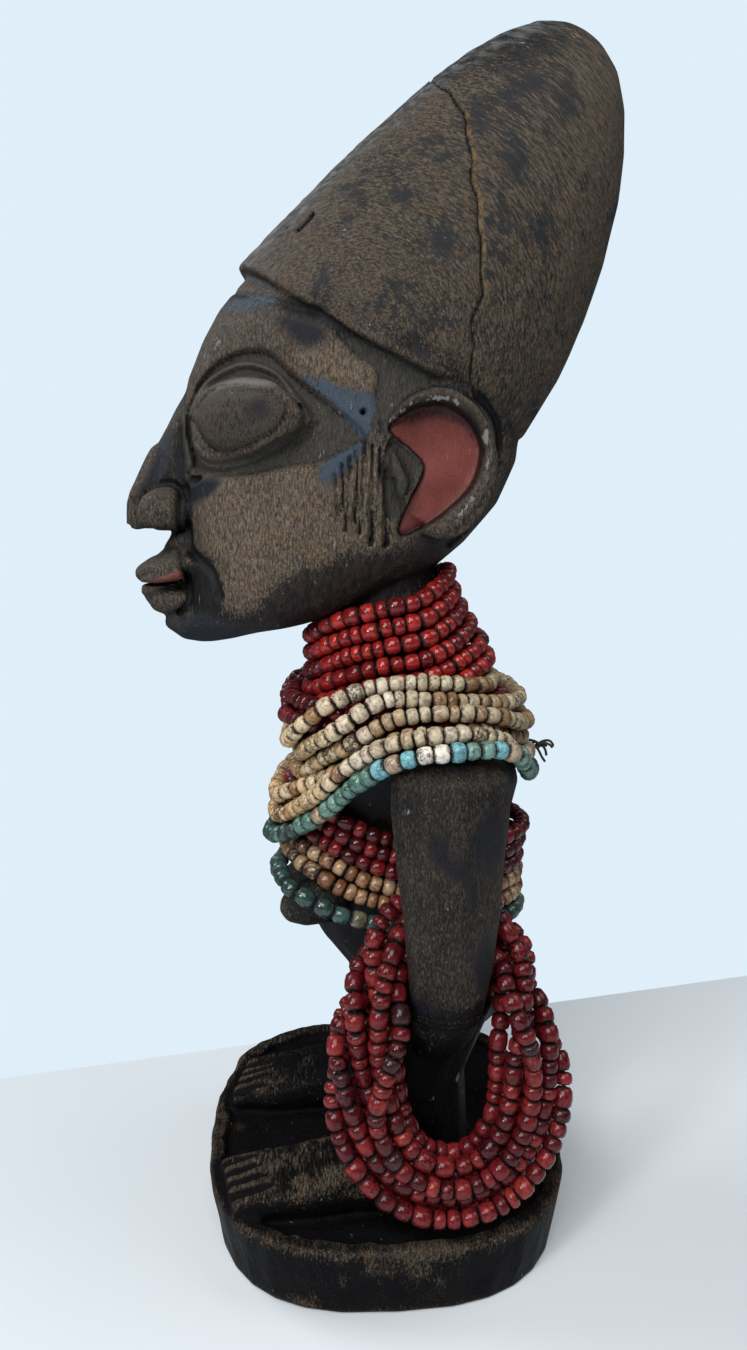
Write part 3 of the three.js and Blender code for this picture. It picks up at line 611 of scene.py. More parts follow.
base_side = 1 - rising(z, 16, 18)
rim = rising(z, 14, 16.5) * (1 - rising(z, 18, 19.5))
over_feet = np.exp(-(((side_x - 20) / 12) ** 2))
foot_top = rising(z, 19, 21) * (1 - rising(z, 26, 30)) * over_feet * (0.4 + 0.6 * (x > 0))
# The base's back, away from the light, is painted darker as shade.
base_wear_and_shade = ((0.13 + 0.46 * bare_patches) * base_side + 0.08 * rim) * (1 - 0.6 * rising(y, 5, 30))
low_light = base_wear_and_shade - 0.12 + 0.62 * foot_top * (0.6 + bare_patches)
light = np.where(z < 60, low_light, light)
store("light", light)

# Parts that a smooth grey film of dust and handling covers: the eye's hollow, the valley above the ear and
# the side of the nose. Its grey is partly painted sheen of the polished wood. On the nose's ridge and the
# chin it is a bluish painted sheen, the reflection of the pale sky.
NOSE_SIDE = [
    (-47.4, 190.9), (-44.9, 197), (-43.9, 194.2), (-43.4, 189.8), (-42, 184.3), (-44.4, 181),
    (-45.6, 168), (-44.4, 161), (-47, 166), (-46.3, 179.3), (-47.6, 180.4),
]
NOSE_RIDGE = [
    (-57.6, 175), (-55.4, 180), (-50.6, 190), (-48, 193), (-47.4, 188), (-50, 181.5), (-52.9, 179.6),
    (-56, 177),
]
CHIN = [
    (-53, 150.4), (-45, 152), (-40, 152.6), (-33, 150.4), (-24, 151), (-24, 146), (-45, 142), (-54, 144)
]
socket = patch(BROW + CHEEK_TOP, 1) * (1 - patch(LID_RIM + LOWER_RIM, 0.7))
film_and_sheen = [0.85 * socket, patch(VALLEY, 1.8), patch(NOSE_SIDE, 1), 0.9 * patch(NOSE_RIDGE, 1, least=-1)]
store("film_and_sheen", np.maximum.reduce(film_and_sheen + [0.7 * patch(CHIN, 2, least=-1), patch(TRAGUS, 0.5, least=10)]))
store("bluish_sheen", np.maximum(patch(NOSE_RIDGE, 1, least=-1), patch(CHIN, 2, least=-1)))

# Painted highlights: thin light lines on the upper lid, on the crest of the fold above it and round the
# ear's rim, where light catches them. Painted shade: dark under the brow, in the tear notch, round the ear's
# bowl, under its rim and between the toes.
LID_BAND = [
    (-38.6, 197.9), (-37.9, 199.2), (-34.2, 200.6), (-30.6, 200.9), (-26.7, 200.3), (-24.2, 199),
    (-28, 198.9), (-32.2, 199.4), (-35.3, 199),
]
crest = 1 - line_offset(smooth_line(UPPER_FOLD), y, z)[0] / 0.8
# Painted highlights: pale glints along the crests of the ear's rim.
GLINTS = [
    [(-0.6, 192), (2.4, 194.9), (6.6, 196.4), (11, 196.2), (14.8, 193.9)],
    [(17.9, 190.5), (18.8, 186), (18.3, 181)], [(16.2, 176.6), (12.5, 172.4)],
]
off_glints = np.minimum.reduce([line_offset(smooth_line(line), y, z)[0] for line in GLINTS])
glint = np.clip(1 - off_glints / 0.9, 0, 1)
store("glint", 1.1 * glint * (side_x > 18))
store("pale", np.where(side_x > 4, np.maximum(patch(LID_BAND, 0.6), 0.4 * np.clip(crest, 0, 1)), 0))
EAR_SHADE = [
    (-0.8, 191.2), (0.7, 195), (5.5, 197), (11.5, 197), (16.5, 194), (19, 188.6), (16.6, 188.2),
    (13.3, 191), (8.2, 192.5), (2.8, 191.8),
]
toes = [
    np.where(side_x > 8, np.hypot(np.maximum(0, y - (end + 6.5)), side_x - toe) / 1.3, 3)
    for toe, end in TOE_GAPS
]
between_toes = np.where((z > 18.5) & (z < 30), 1 - np.clip(np.minimum.reduce(toes) - 0.4, 0, 1), 0)
below_brow = patch(BROW[:8] + LID_RIM[::-1], 0.8)
bowl_edge = np.clip(1.1 - np.abs(depth_inside(EAR_BOWL, y, z) - 0.1) / 1.3, 0, 1) * (side_x > 18)
# Painted shade under the ear's rim and round its bowl, between the toes, under the brow and in the tear
# notch.
painted_shade = [0.7 * patch(EAR_SHADE, 1.5, least=15), 0.62 * bowl_edge, between_toes, 0.42 * below_brow]
store("painted_shade", np.maximum.reduce(painted_shade + [patch(TEAR_NOTCH, 0.5, least=6)]))

# Bare wood is yellower on the cheek, the temple and among the cheek cuts.
GOLD = [
    (-39.5, 180.2), (-33.7, 180.9), (-26.2, 182.2), (-18.7, 183.6), (-14, 181), (-10.7, 175.2),
    (-3, 169.8), (-8.1, 165), (-16.3, 162.3), (-21.7, 159.6), (-26.7, 156.4), (-31.1, 153.4),
    (-35.4, 154), (-36, 157.5), (-38.4, 162.9), (-41, 168), (-42, 173.6),
]
TEMPLE = [
    (-20.4, 203.4), (-18, 207.6), (-12.6, 209.8), (-8.6, 205.6), (-3.6, 203), (-3.4, 198.6),
    (-8.9, 198.4), (-16.9, 200.4),
]
GOUGED = [(-12.6, 181), (-9, 185.4), (-5, 188), (-1.2, 184.6), (-0.4, 168), (-6, 167), (-11.4, 171.6)]
store("gold", np.maximum.reduce([0.8 * patch(GOLD, 3), patch(TEMPLE, 1.2), 0.6 * patch(GOUGED, 1.5)]))

# Rests of paint: blue on the temple, the cheek and the hairline, indigo beside the nose, on the forehead, the
# eyeball and the arm, red in the ears and on the lips, and a dark red stain along the jaw.
BLUE_TEMPLE = [
    (-18.4, 200.7), (-13.2, 199.7), (-10.1, 198), (-3.9, 197.2), (-5.1, 191.1), (-6.1, 188.8),
    (-9, 191.9), (-13.3, 196.5),
]
BLUE_CHEEK = [
    (-15.6, 182), (-13.9, 183.9), (-10.7, 185.9), (-6.3, 187.8), (-7.1, 185.7), (-10.6, 182),
    (-14.3, 179.7),
]
BLUE_NOSE = [(-45, 179.4), (-38.8, 181.3), (-36.4, 180.2), (-38.7, 177.6), (-43.4, 176.2)]
BLUE_FOREHEAD = [
    (-24.4, 213.2), (-18.9, 212), (-13.6, 209.8), (-14.5, 207.5), (-18.5, 207.4), (-20.6, 209.6)
]
BLUE_BAND = [(-35, 218.4), (-27.9, 218.8), (-23.4, 217), (-25.8, 215.6), (-35, 215.2)]
blues = [patch(BLUE_TEMPLE, 1), patch(BLUE_CHEEK, 1), 0.55 * patch(BLUE_BAND, 1, least=0)]
store("blue", np.maximum.reduce(blues))


def blotted(spots, most):
    """Soft spots, each given by its middle (y, z) and its reach along y and z."""
    spread = [
        np.hypot((y - spot_y) / reach_y, (z - spot_z) / reach_z)
        for spot_y, spot_z, reach_y, reach_z in spots
    ]
    return np.clip(1.1 - 0.6 * np.minimum.reduce(spread), 0, most)


ARM_BLOTS = [
    (18.3, 107.3, 3, 5), (12, 102.2, 2.6, 2.2), (15.6, 96, 1.6, 2.4), (18.2, 79.6, 2, 5),
    (7.4, 106.3, 1.6, 3), (5.1, 68.9, 3, 2),
]
arm_blots = blotted(ARM_BLOTS, 0.62) * (side_x > 22)
eye_blots = 0.62 * np.clip(1.2 - 0.5 * np.hypot((y + 27.5) / 2.2, (z - 194.5) / 2.2), 0, 1)
eye_blots = np.where(side_x > 8, np.maximum(eye_blots, 0.3), 0.3) * patch(EYEBALL, 1)
indigo_patches = [patch(BLUE_NOSE, 1.4), patch(BLUE_FOREHEAD, 1.3), eye_blots, arm_blots]
store("indigo", np.maximum.reduce(indigo_patches))
LIP_PAINT = [
    (-55, 158.5), (-51, 160), (-48, 161.2), (-45.8, 161.8), (-45.1, 160), (-46, 158.4), (-51, 157.8),
    (-55, 157.6),
]
JAW = [
    (-26.7, 158), (-16, 163.4), (-4, 168), (8, 170), (9, 164), (0, 158), (-12, 153.4), (-24, 151),
    (-30, 152.4),
]
store("jaw", patch(JAW, 3))
store("red", np.maximum(patch(EAR_BOWL, 1, least=18), 0.67 * patch(LIP_PAINT, 0.7, least=0)))

# Damage on the left side: the crack and the nail hole, kept as the distance to them, the filler in the
# crack's middle stretch, a chip at the tip, and dark blots on the coiffure. Its front edge is polished, and
# lighter grey streaks are painted on it as the sheen it catches.
FAR = 3  # the longest distance that is kept, in millimetres
distance, side = line_offset(smooth_line(CRACK), y, z)
store("crack", np.where(x > -1, np.clip(distance * side, -FAR, FAR), FAR))
store("pit", np.where(x > 8, np.clip(np.hypot(y - NAIL_HOLE[0], z - NAIL_HOLE[1]), 0, FAR), FAR))
TIP_CHIP = [(37.4, 274.4), (39, 274.2), (41, 272.2), (39.9, 271.6), (38.6, 272.9)]
store("chip", np.where(x > 2, patch(TIP_CHIP, 1), 0))
store("filler", rising(z, 214, 219) * (1 - rising(z, 252, 257)))
COIFFURE_BLOTS = [
    (17.1, 252.4, 3.7, 6), (24.7, 244.1, 3.7, 7), (9.9, 227.6, 3.4, 5.6), (30.9, 230.7, 3.9, 5.6),
    (36, 256.6, 3.7, 5.6), (10.3, 244.8, 2.8, 2), (-2.8, 214.2, 1.8, 2.4), (5.5, 205.6, 2, 1.3),
    (28.4, 260.5, 5.5, 2.8), (1.8, 236.1, 5, 2.4), (19.3, 225.6, 1.5, 4),
]
store("blots", np.where(x > 2, blotted(COIFFURE_BLOTS, 1), 0))
FRONT_EDGE = [
    (-34, 223.6), (-31, 224.6), (-21, 232), (-12.1, 240.7), (-3.6, 249.4), (12.1, 262.1), (19.3, 267.3),
    (30.2, 272.6), (36, 274), (34, 280), (15, 276), (-5, 260), (-38, 226),
]
round_bowl = patch(EAR_BOWL, 3, least=18) * (1 - patch(EAR_BOWL, 0.5, least=18))
store("polish_and_sheen", np.maximum(patch(FRONT_EDGE, 2, least=-1), round_bowl))

# Finish: a nearly black stain, worn through to brown wood on what sticks out, with films of dust and the
# rests of blue, indigo and red paint over it, and painted shade, highlights and sheen.
STAIN = (0.0036, 0.0032, 0.0038, 1)
LEG_STAIN_AND_SHADE = (0.0012, 0.001, 0.0012, 1)
BLUE_PAINT = (0.05, 0.069, 0.096, 1)
INDIGO = (0.006, 0.007, 0.0125, 1)
FILM_AND_SHEEN = (0.036, 0.033, 0.0275, 1)
BLUISH_SHEEN = (0.0145, 0.0175, 0.024, 1)
PAINTED_SHADE_COLOR = (0.006, 0.005, 0.0055, 1)
RED_PAINT = (0.175, 0.046, 0.038, 1)
RED_WORN = (0.1, 0.022, 0.019, 1)
FILLER = (0.14, 0.08, 0.032, 1)
LID_HIGHLIGHT_COLOR = (0.13, 0.125, 0.115, 1)
BLOT_COLOR = (0.0085, 0.0098, 0.0125, 1)
GLINT_COLOR = (0.16, 0.155, 0.148, 1)
CHIP_COLOR = (0.2, 0.14, 0.075, 1)
GAP_COLOR = (0.002, 0.0018, 0.0018, 1)
ARM_TINT = (0.56, 0.56, 0.58, 1)
WARM_TINT = (1.18, 0.95, 0.66, 1)
DECIMETRE = 100  # millimetres

stained_wood, nodes = material_nodes("stained_wood")
coordinates = nodes.add("ShaderNodeTexCoord").outputs["Object"]
in_mm = nodes.vector("MULTIPLY", coordinates, (1000, 1000, 1000))
axes = nodes.add("ShaderNodeSeparateXYZ", {"Vector": in_mm}).outputs
height = nodes.math("DIVIDE", axes["Z"], DECIMETRE)


def together(x, y, z):
    return nodes.add("ShaderNodeCombineXYZ", {"X": x, "Y": y, "Z": z})


def blend(share, first, second):
    """A number between two others."""
    return nodes.out(nodes.add("ShaderNodeMix", {0: share, 2: first, 3: second}, data_type="FLOAT"))


# The grain runs upright. On the coiffure the knife went round in arcs, from level at the front edge to
# steep at the back, and on top of the feet it went straight across.
ARC_MIDDLE = {"Y": -12, "Z": 204}
from_middle = [nodes.math("SUBTRACT", axes[axis], place) for axis, place in ARC_MIDDLE.items()]
squares = [nodes.math("MULTIPLY", part, part) for part in from_middle]
arc_radius = nodes.math("SQRT", nodes.math("ADD", *squares))
arc_turn = nodes.math("ARCTAN2", *from_middle)
upright = nodes.vector("MULTIPLY", in_mm, (1, 1, 0.34))
arcs = together(nodes.math("MULTIPLY", axes["X"], 0.7), nodes.math("MULTIPLY", arc_turn, 9), arc_radius)
across = nodes.vector("MULTIPLY", in_mm, (0.15, 1, 0.6))
on_feet = nodes.ramp(height, [(0.16, 0.0), (0.18, 1.0), (0.3, 1.0), (0.32, 0.0)])
on_coiffure = nodes.ramp(nodes.stored("hair"), [(0.4, 0.0), (0.6, 1.0)])


def grain(scale, detail, roughness):
    plain = nodes.noise(upright, scale, detail, roughness)
    combed = nodes.noise(across, scale, detail, roughness)
    turned = nodes.noise(arcs, scale, detail, roughness)
    return blend(on_coiffure, blend(on_feet, plain, combed), turned)


fibre = grain(2.4, 3, 0.75)
stroke = grain(0.75, 2, 0.5)
speck = nodes.noise(in_mm, 3.1, 3, 0.75)
cloud = nodes.noise(in_mm, 0.085, 3, 0.6)
blotch = nodes.noise(in_mm, 0.1, 4, 0.65, 0.6)
flecks = nodes.math("ADD", nodes.math("MULTIPLY", fibre, 0.65), nodes.math("MULTIPLY", speck, 0.35))


def frayed(value, amount, low, high):
    """A share with its edge broken up by grain and specks."""
    return nodes.ramp(nodes.swayed(value, flecks, amount), [(low, 0.0), (high, 1.0)])


WORN_GREY = [
    (0.37, (0.006, 0.0053, 0.005, 1)), (0.48, (0.032, 0.025, 0.0195, 1)),
    (0.56, (0.068, 0.053, 0.0395, 1)), (0.66, (0.145, 0.116, 0.085, 1)),
]
WORN_GOLD = [
    (0.37, (0.013, 0.01, 0.008, 1)), (0.47, (0.062, 0.046, 0.033, 1)), (0.55, (0.118, 0.09, 0.064, 1)),
    (0.65, (0.22, 0.177, 0.128, 1)),
]
WORN_COIFFURE = [
    (0.37, (0.0115, 0.0092, 0.0075, 1)), (0.48, (0.0425, 0.0325, 0.0245, 1)),
    (0.57, (0.081, 0.0615, 0.0435, 1)), (0.69, (0.152, 0.119, 0.085, 1)),
]
gold = nodes.swayed(nodes.stored("gold"), cloud, 0.8)
bare = nodes.mix(gold, nodes.ramp(flecks, WORN_GREY), nodes.ramp(flecks, WORN_GOLD))
bare = nodes.mix(nodes.stored("arm"), bare, nodes.tinted(bare, ARM_TINT))
bare = nodes.mix(on_coiffure, bare, nodes.ramp(flecks, WORN_COIFFURE))
warm = nodes.ramp(nodes.noise(in_mm, 0.35, 3, 0.6), [(0.5, 0.0), (0.66, 0.55)])
bare = nodes.mix(warm, bare, nodes.tinted(bare, WARM_TINT))
wear = nodes.math("MULTIPLY_ADD", nodes.stored("edge"), 0.9, nodes.stored("light"))
shown = frayed(nodes.swayed(wear, cloud, 0.7), 2.4, 0.3, 0.72)
# The stain is darkest over the legs, partly as painted shade, for they lie behind the hanging loops.
stain = nodes.ramp(height, [(0.2, STAIN), (0.32, LEG_STAIN_AND_SHADE), (0.5, LEG_STAIN_AND_SHADE), (0.8, STAIN)])
jaw_stain = nodes.ramp(stroke, [(0.4, (0.004, 0.003, 0.003, 1)), (0.62, (0.02, 0.0105, 0.009, 1))])
stain = nodes.mix(nodes.stored("jaw"), stain, jaw_stain)
paint = nodes.mix(shown, stain, bare)
half_and_half = nodes.math("ADD", nodes.math("MULTIPLY", speck, 0.5), nodes.math("MULTIPLY", fibre, 0.5))
unevenly = nodes.ramp(half_and_half, [(0.38, 0.35), (0.64, 1.5)])
# Grey film with painted sheen, and a bluish painted reflection on the nose's ridge and the chin.
film_and_sheen = nodes.mix(nodes.stored("bluish_sheen"), FILM_AND_SHEEN, BLUISH_SHEEN)
film_and_sheen = nodes.tinted(film_and_sheen, unevenly)
paint = nodes.mix(nodes.math("MULTIPLY", frayed(nodes.stored("film_and_sheen"), 1.8, 0.35, 0.7), 0.85), paint, film_and_sheen)
# Painted highlight on the upper lid and on the crest of the fold above it.
paint = nodes.mix(nodes.math("MULTIPLY", nodes.stored("pale"), 0.75), paint, LID_HIGHLIGHT_COLOR)
streaks = nodes.swayed(blotch, stroke, 0.7)
streaks = nodes.ramp(nodes.swayed(streaks, flecks, -0.5), [(0.57, 0.0), (0.68, 0.8)])
placed = nodes.swayed(nodes.stored("blots"), stroke, 1.3)
placed = nodes.ramp(nodes.swayed(placed, flecks, -1.6), [(0.42, 0.0), (0.85, 0.88)])
streaks = nodes.math("MAXIMUM", nodes.math("MULTIPLY", streaks, on_coiffure), placed)
paint = nodes.mix(streaks, paint, BLOT_COLOR)
# Painted sheen: lighter grey streaks along the coiffure's polished front edge.
PAINTED_SHEEN_STREAKS = [(0.4, (0.02, 0.02, 0.022, 1)), (0.5, (0.06, 0.06, 0.062, 1)), (0.62, (0.15, 0.15, 0.15, 1))]
painted_sheen = nodes.math("MULTIPLY", nodes.math("MULTIPLY", nodes.stored("polish_and_sheen"), on_coiffure), 0.6)
paint = nodes.mix(painted_sheen, paint, nodes.ramp(stroke, PAINTED_SHEEN_STREAKS))
paint = nodes.mix(frayed(nodes.stored("indigo"), 3.4, 0.44, 0.66), paint, INDIGO)
blue = nodes.mix(nodes.ramp(speck, [(0.35, 0.0), (0.65, 1.0)]), darkened(BLUE_PAINT, 0.55), BLUE_PAINT)
paint = nodes.mix(frayed(nodes.stored("blue"), 2.8, 0.3, 0.66), paint, blue)
red_left = nodes.math("ADD", nodes.math("MULTIPLY", cloud, 0.5), nodes.math("MULTIPLY", speck, 0.5))
red = nodes.mix(nodes.ramp(red_left, [(0.38, 0.0), (0.6, 1.0)]), RED_WORN, RED_PAINT)
paint = nodes.mix(frayed(nodes.stored("red"), 0.9, 0.5, 0.72), paint, red)
# Painted shade in creases and under overhangs.
paint = nodes.mix(frayed(nodes.stored("painted_shade"), 1.4, 0.4, 0.8), paint, PAINTED_SHADE_COLOR)
# Painted highlights along the ear's rim.
glints = nodes.swayed(nodes.stored("glint"), stroke, 3.5)
paint = nodes.mix(frayed(glints, 2.0, 0.85, 1.25), paint, GLINT_COLOR)
paint = nodes.mix(frayed(nodes.stored("chip"), 3.4, 0.6, 0.8), paint, CHIP_COLOR)

# The crack is black, with a strip of brown filler along one edge, and so is the nail hole.
offset = nodes.swayed(nodes.stored("crack"), speck, 0.9)
fill = nodes.ramp(nodes.math("ABSOLUTE", nodes.math("SUBTRACT", offset, 0.45)), [(0.25, 1.0), (0.7, 0.0)])
fill_left = nodes.ramp(nodes.noise(in_mm, 0.7, 4, 0.7), [(0.42, 0.05), (0.56, 0.9)])
fill = nodes.math("MULTIPLY", fill, fill_left)
paint = nodes.mix(nodes.math("MULTIPLY", fill, nodes.stored("filler")), paint, FILLER)
pit = nodes.math("MULTIPLY", nodes.stored("pit"), 0.32)
black = nodes.math("MINIMUM", nodes.math("ABSOLUTE", offset), pit)
paint = nodes.mix(nodes.ramp(black, [(0.1, 1.0), (0.2, 0.0)]), paint, GAP_COLOR)

# Gloss and relief: worn wood is duller than stained wood, handled edges are smoother, and the low parts, to
# which hands seldom come, have lost most of their shine.
roughness = nodes.ramp(nodes.math("MULTIPLY_ADD", speck, 0.4, shown), [(0.1, 0.44), (0.9, 0.64)])
roughness = nodes.math("MULTIPLY_ADD", nodes.stored("polish_and_sheen"), -0.2, roughness)
relief = nodes.math("ADD", nodes.math("MULTIPLY", fibre, 0.45), nodes.math("MULTIPLY", speck, 0.2))
relief = nodes.math("ADD", relief, nodes.math("MULTIPLY", stroke, 0.7))
relief = nodes.math("MULTIPLY", relief, nodes.math("MULTIPLY_ADD", nodes.stored("red"), -0.75, 1.0))
bump = nodes.add("ShaderNodeBump", {"Strength": 0.9, "Distance": 0.0006, "Height": relief})
sheen = nodes.ramp(height, [(0.35, 0.035), (0.6, 0.06), (0.85, 0.2)])
finish = {"Base Color": paint, "Roughness": roughness, "Specular IOR Level": sheen, "Normal": bump}
nodes.surface(**finish)
figure_mesh.materials.clear()
figure_mesh.materials.append(stained_wood)
figure_mesh.shade_smooth()
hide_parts("carved_figure")
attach(wooden_figure, "root")

# Strings of beads: short barrels chopped from drawn glass and threaded close on thin cord. No two are
# alike in length, and dirt has settled in the gaps, which are painted darker still as the shade between
# beads. Each string is one closed loop that keeps the packed loop's course, and its beads are laid along it
# by one geometry node tree.
BEAD_SIDES = 12
BEAD_BANDS = 6
BARREL_SIDE = 0.58  # 1 for a ball, and 0 for straight sides
BARREL_END = 0.66  # 1 for a ball, and less for flatter ends
NARROWEST, WIDEST = 0.88, 1.05  # of the diameter given
JITTER = 0.00013  # metres off the course
LEAN = 0.09  # how far a bead's axis strays from the course
THREAD_RADIUS = 0.0005  # metres
THREAD_COLOR = (0.03, 0.022, 0.017, 1)
TUBE_SIDES = 5  # of a packed string
EARLY_START = 0.17  # radians, so that a joint just short of the start is still the first one

thread, nodes = material_nodes("dirty_thread")
nodes.surface(**{"Base Color": THREAD_COLOR, "Roughness": 0.9})

bead_tree = bpy.data.node_groups.new("bead_string", "GeometryNodeTree")
named_inputs = [
    ("Course", "NodeSocketGeometry", None), ("Diameter", "NodeSocketFloat", 0.004),
    ("Length", "NodeSocketFloat", 0.0036), ("Unevenness", "NodeSocketFloat", 0.3),
    ("Seed", "NodeSocketInt", 1), ("Glass", "NodeSocketMaterial", None),
    ("Thread", "NodeSocketMaterial", thread),
]
for name, kind, value in named_inputs:
    socket = bead_tree.interface.new_socket(name, in_out="INPUT", socket_type=kind)
    if value is not None:
        socket.default_value = value
bead_tree.interface.new_socket("Beads", in_out="OUTPUT", socket_type="NodeSocketGeometry")
nodes = Nodes(bead_tree)
given = nodes.add("NodeGroupInput").outputs
course = nodes.add("GeometryNodeMeshToCurve", {"Mesh": given["Course"]})
course_length = nodes.add("GeometryNodeCurveLength", {"Curve": course})
count = nodes.math("ROUND", nodes.math("DIVIDE", course_length, given["Length"]))
beads = nodes.add("GeometryNodePoints", {"Count": count})


def drawn(low, high, seed_shift, kind="FLOAT"):
    """A random value for each bead."""
    seed = nodes.math("ADD", given["Seed"], seed_shift)
    node = nodes.add("FunctionNodeRandomValue", {"Seed": seed}, data_type=kind)
    for name, value in (("Min", low), ("Max", high)):
        socket = next(socket for socket in node.inputs if socket.name == name and socket.enabled)
        if isinstance(value, (bpy.types.Node, bpy.types.NodeSocket)):
            nodes.tree.links.new(nodes.out(value) if isinstance(value, bpy.types.Node) else value, socket)
        else:
            socket.default_value = value
    return nodes.out(node)


shortest = nodes.math("SUBTRACT", 1.0, given["Unevenness"])
longest = nodes.math("ADD", 1.0, given["Unevenness"])
share = drawn(shortest, longest, 0)
summed = nodes.add("GeometryNodeAccumulateField", {0: share})
total = nodes.out(summed, "Total")
middle = nodes.math("MULTIPLY_ADD", share, 0.5, nodes.out(summed, "Trailing"))
along = nodes.math("DIVIDE", middle, total)
bead_length = nodes.math("MULTIPLY", nodes.math("DIVIDE", share, total), course_length)


def kept(geometry, name, value, kind="FLOAT"):
    inputs = {"Geometry": geometry, "Name": name, "Value": value}
    return nodes.add("GeometryNodeStoreNamedAttribute", inputs, data_type=kind, domain="POINT")


def recalled(name, kind="FLOAT"):
    return nodes.add("GeometryNodeInputNamedAttribute", {"Name": name}, data_type=kind)


beads = kept(beads, "place", along)
beads = kept(beads, "bead_length", bead_length)
beads = kept(beads, "tone", drawn(0.0, 1.0, 100))
at_place = {"Curves": course, "Factor": recalled("place")}
sampled = nodes.add("GeometryNodeSampleCurve", at_place, mode="FACTOR", use_all_curves=True)
jitter = drawn((-JITTER,) * 3, (JITTER,) * 3, 200, "FLOAT_VECTOR")
spot = nodes.vector("ADD", nodes.out(sampled, "Position"), jitter)
beads = nodes.add("GeometryNodeSetPosition", {"Geometry": beads, "Position": spot})
beads = kept(beads, "heading", nodes.out(sampled, "Tangent"), "FLOAT_VECTOR")

sphere = nodes.add(
    "GeometryNodeMeshUVSphere", {"Segments": BEAD_SIDES, "Rings": BEAD_BANDS, "Radius": 1.0}
)
parts = nodes.add("ShaderNodeSeparateXYZ", {"Vector": nodes.add("GeometryNodeInputPosition")}).outputs
radius = nodes.math(
    "SQRT", nodes.math("SUBTRACT", 1.0001, nodes.math("MULTIPLY", parts["Z"], parts["Z"]))
)
swell = nodes.math("DIVIDE", nodes.math("POWER", radius, BARREL_SIDE), radius)
height = nodes.math("ABSOLUTE", parts["Z"])
flat_end = nodes.math("MULTIPLY", nodes.math("SIGN", parts["Z"]), nodes.math("POWER", height, BARREL_END))
barrel_point = {
    "X": nodes.math("MULTIPLY", parts["X"], swell),
    "Y": nodes.math("MULTIPLY", parts["Y"], swell),
    "Z": flat_end,
}
barrel = kept(nodes.out(sphere, "Mesh"), "end", height)
barrel_place = nodes.add("ShaderNodeCombineXYZ", barrel_point)
barrel = nodes.add("GeometryNodeSetPosition", {"Geometry": barrel, "Position": barrel_place})
barrel = nodes.add("GeometryNodeSetShadeSmooth", {"Geometry": barrel})

lean = drawn((-LEAN,) * 3, (LEAN,) * 3, 300, "FLOAT_VECTOR")
axis = nodes.vector("ADD", recalled("heading", "FLOAT_VECTOR"), lean)
turned = nodes.add("FunctionNodeAlignRotationToVector", {"Vector": axis}, axis="Z")
half_width = nodes.math("MULTIPLY", given["Diameter"], 0.5)
width = nodes.math("MULTIPLY", half_width, drawn(NARROWEST, WIDEST, 400))
size = {"X": width, "Y": width, "Z": nodes.math("MULTIPLY", recalled("bead_length"), 0.5)}
own_size = nodes.add("ShaderNodeCombineXYZ", size)
set_out = {"Points": beads, "Instance": barrel, "Rotation": turned, "Scale": own_size}
beads = nodes.add("GeometryNodeInstanceOnPoints", set_out)
beads = nodes.add("GeometryNodeRealizeInstances", {"Geometry": beads})
beads = nodes.add("GeometryNodeSetMaterial", {"Geometry": beads, "Material": given["Glass"]})
thread_size = {"Resolution": 6, "Radius": THREAD_RADIUS}
thread_round = nodes.out(
    nodes.add("GeometryNodeCurvePrimitiveCircle", thread_size, mode="RADIUS"), "Curve"
)
cord = nodes.add("GeometryNodeCurveToMesh", {"Curve": course, "Profile Curve": thread_round})
cord = nodes.add("GeometryNodeSetMaterial", {"Geometry": cord, "Material": given["Thread"]})
joined = nodes.add("GeometryNodeJoinGeometry")
bead_tree.links.new(nodes.out(cord), joined.inputs[0])
bead_tree.links.new(nodes.out(beads), joined.inputs[0])
nodes.add("NodeGroupOutput", {"Beads": joined})


def loop_course(node, hangs):
    """The middle line of a packed tube, as a smooth closed line. It starts at the front, or at the top of a
    loop that hangs, and goes towards the left side, or the front."""
    corners = bare_triangles(node)[0]
    out = corners - corners.mean(axis=0)
    turn = np.arctan2(-out[:, 1], out[:, 2]) if hangs else np.arctan2(out[:, 0], -out[:, 1])
    corners = corners[np.argsort((turn + EARLY_START) % (2 * math.pi))]
    tries = [np.roll(corners, shift, axis=0).reshape(-1, TUBE_SIDES, 3) for shift in range(TUBE_SIDES)]
    rings = min(
        tries, key=lambda rings: np.linalg.norm(rings - rings.mean(axis=1)[:, None], axis=2).max()
    )
    return smooth_line(rings.mean(axis=1), closed=True, steps=5)[:-1]


def thread_ends(piece, lines):
    """Adds the ends of a knotted thread to a string of beads, as thin tubes along lines in millimetres."""
    ends = bpy.data.curves.new("thread_ends", "CURVE")
    ends.dimensions = "3D"
    ends.bevel_depth = 0.33 * MM
    ends.bevel_resolution = 1
    ends.materials.append(thread)
    for line in lines:
        places = smooth_line(line) * MM
        spline = ends.splines.new("POLY")
        spline.points.add(len(places) - 1)
        for point, place in zip(spline.points, places):
            point.co = (*place, 1)
    drawn_ends = mesh_object("thread_ends", ends)
    bpy.context.view_layer.update()
    graph = bpy.context.evaluated_depsgraph_get()
    tubes = mesh_object("thread_tubes", bpy.data.meshes.new_from_object(drawn_ends.evaluated_get(graph)))
    bpy.data.objects.remove(drawn_ends)
    with bpy.context.temp_override(active_object=piece, selected_editable_objects=[piece, tubes]):
        bpy.ops.object.join()


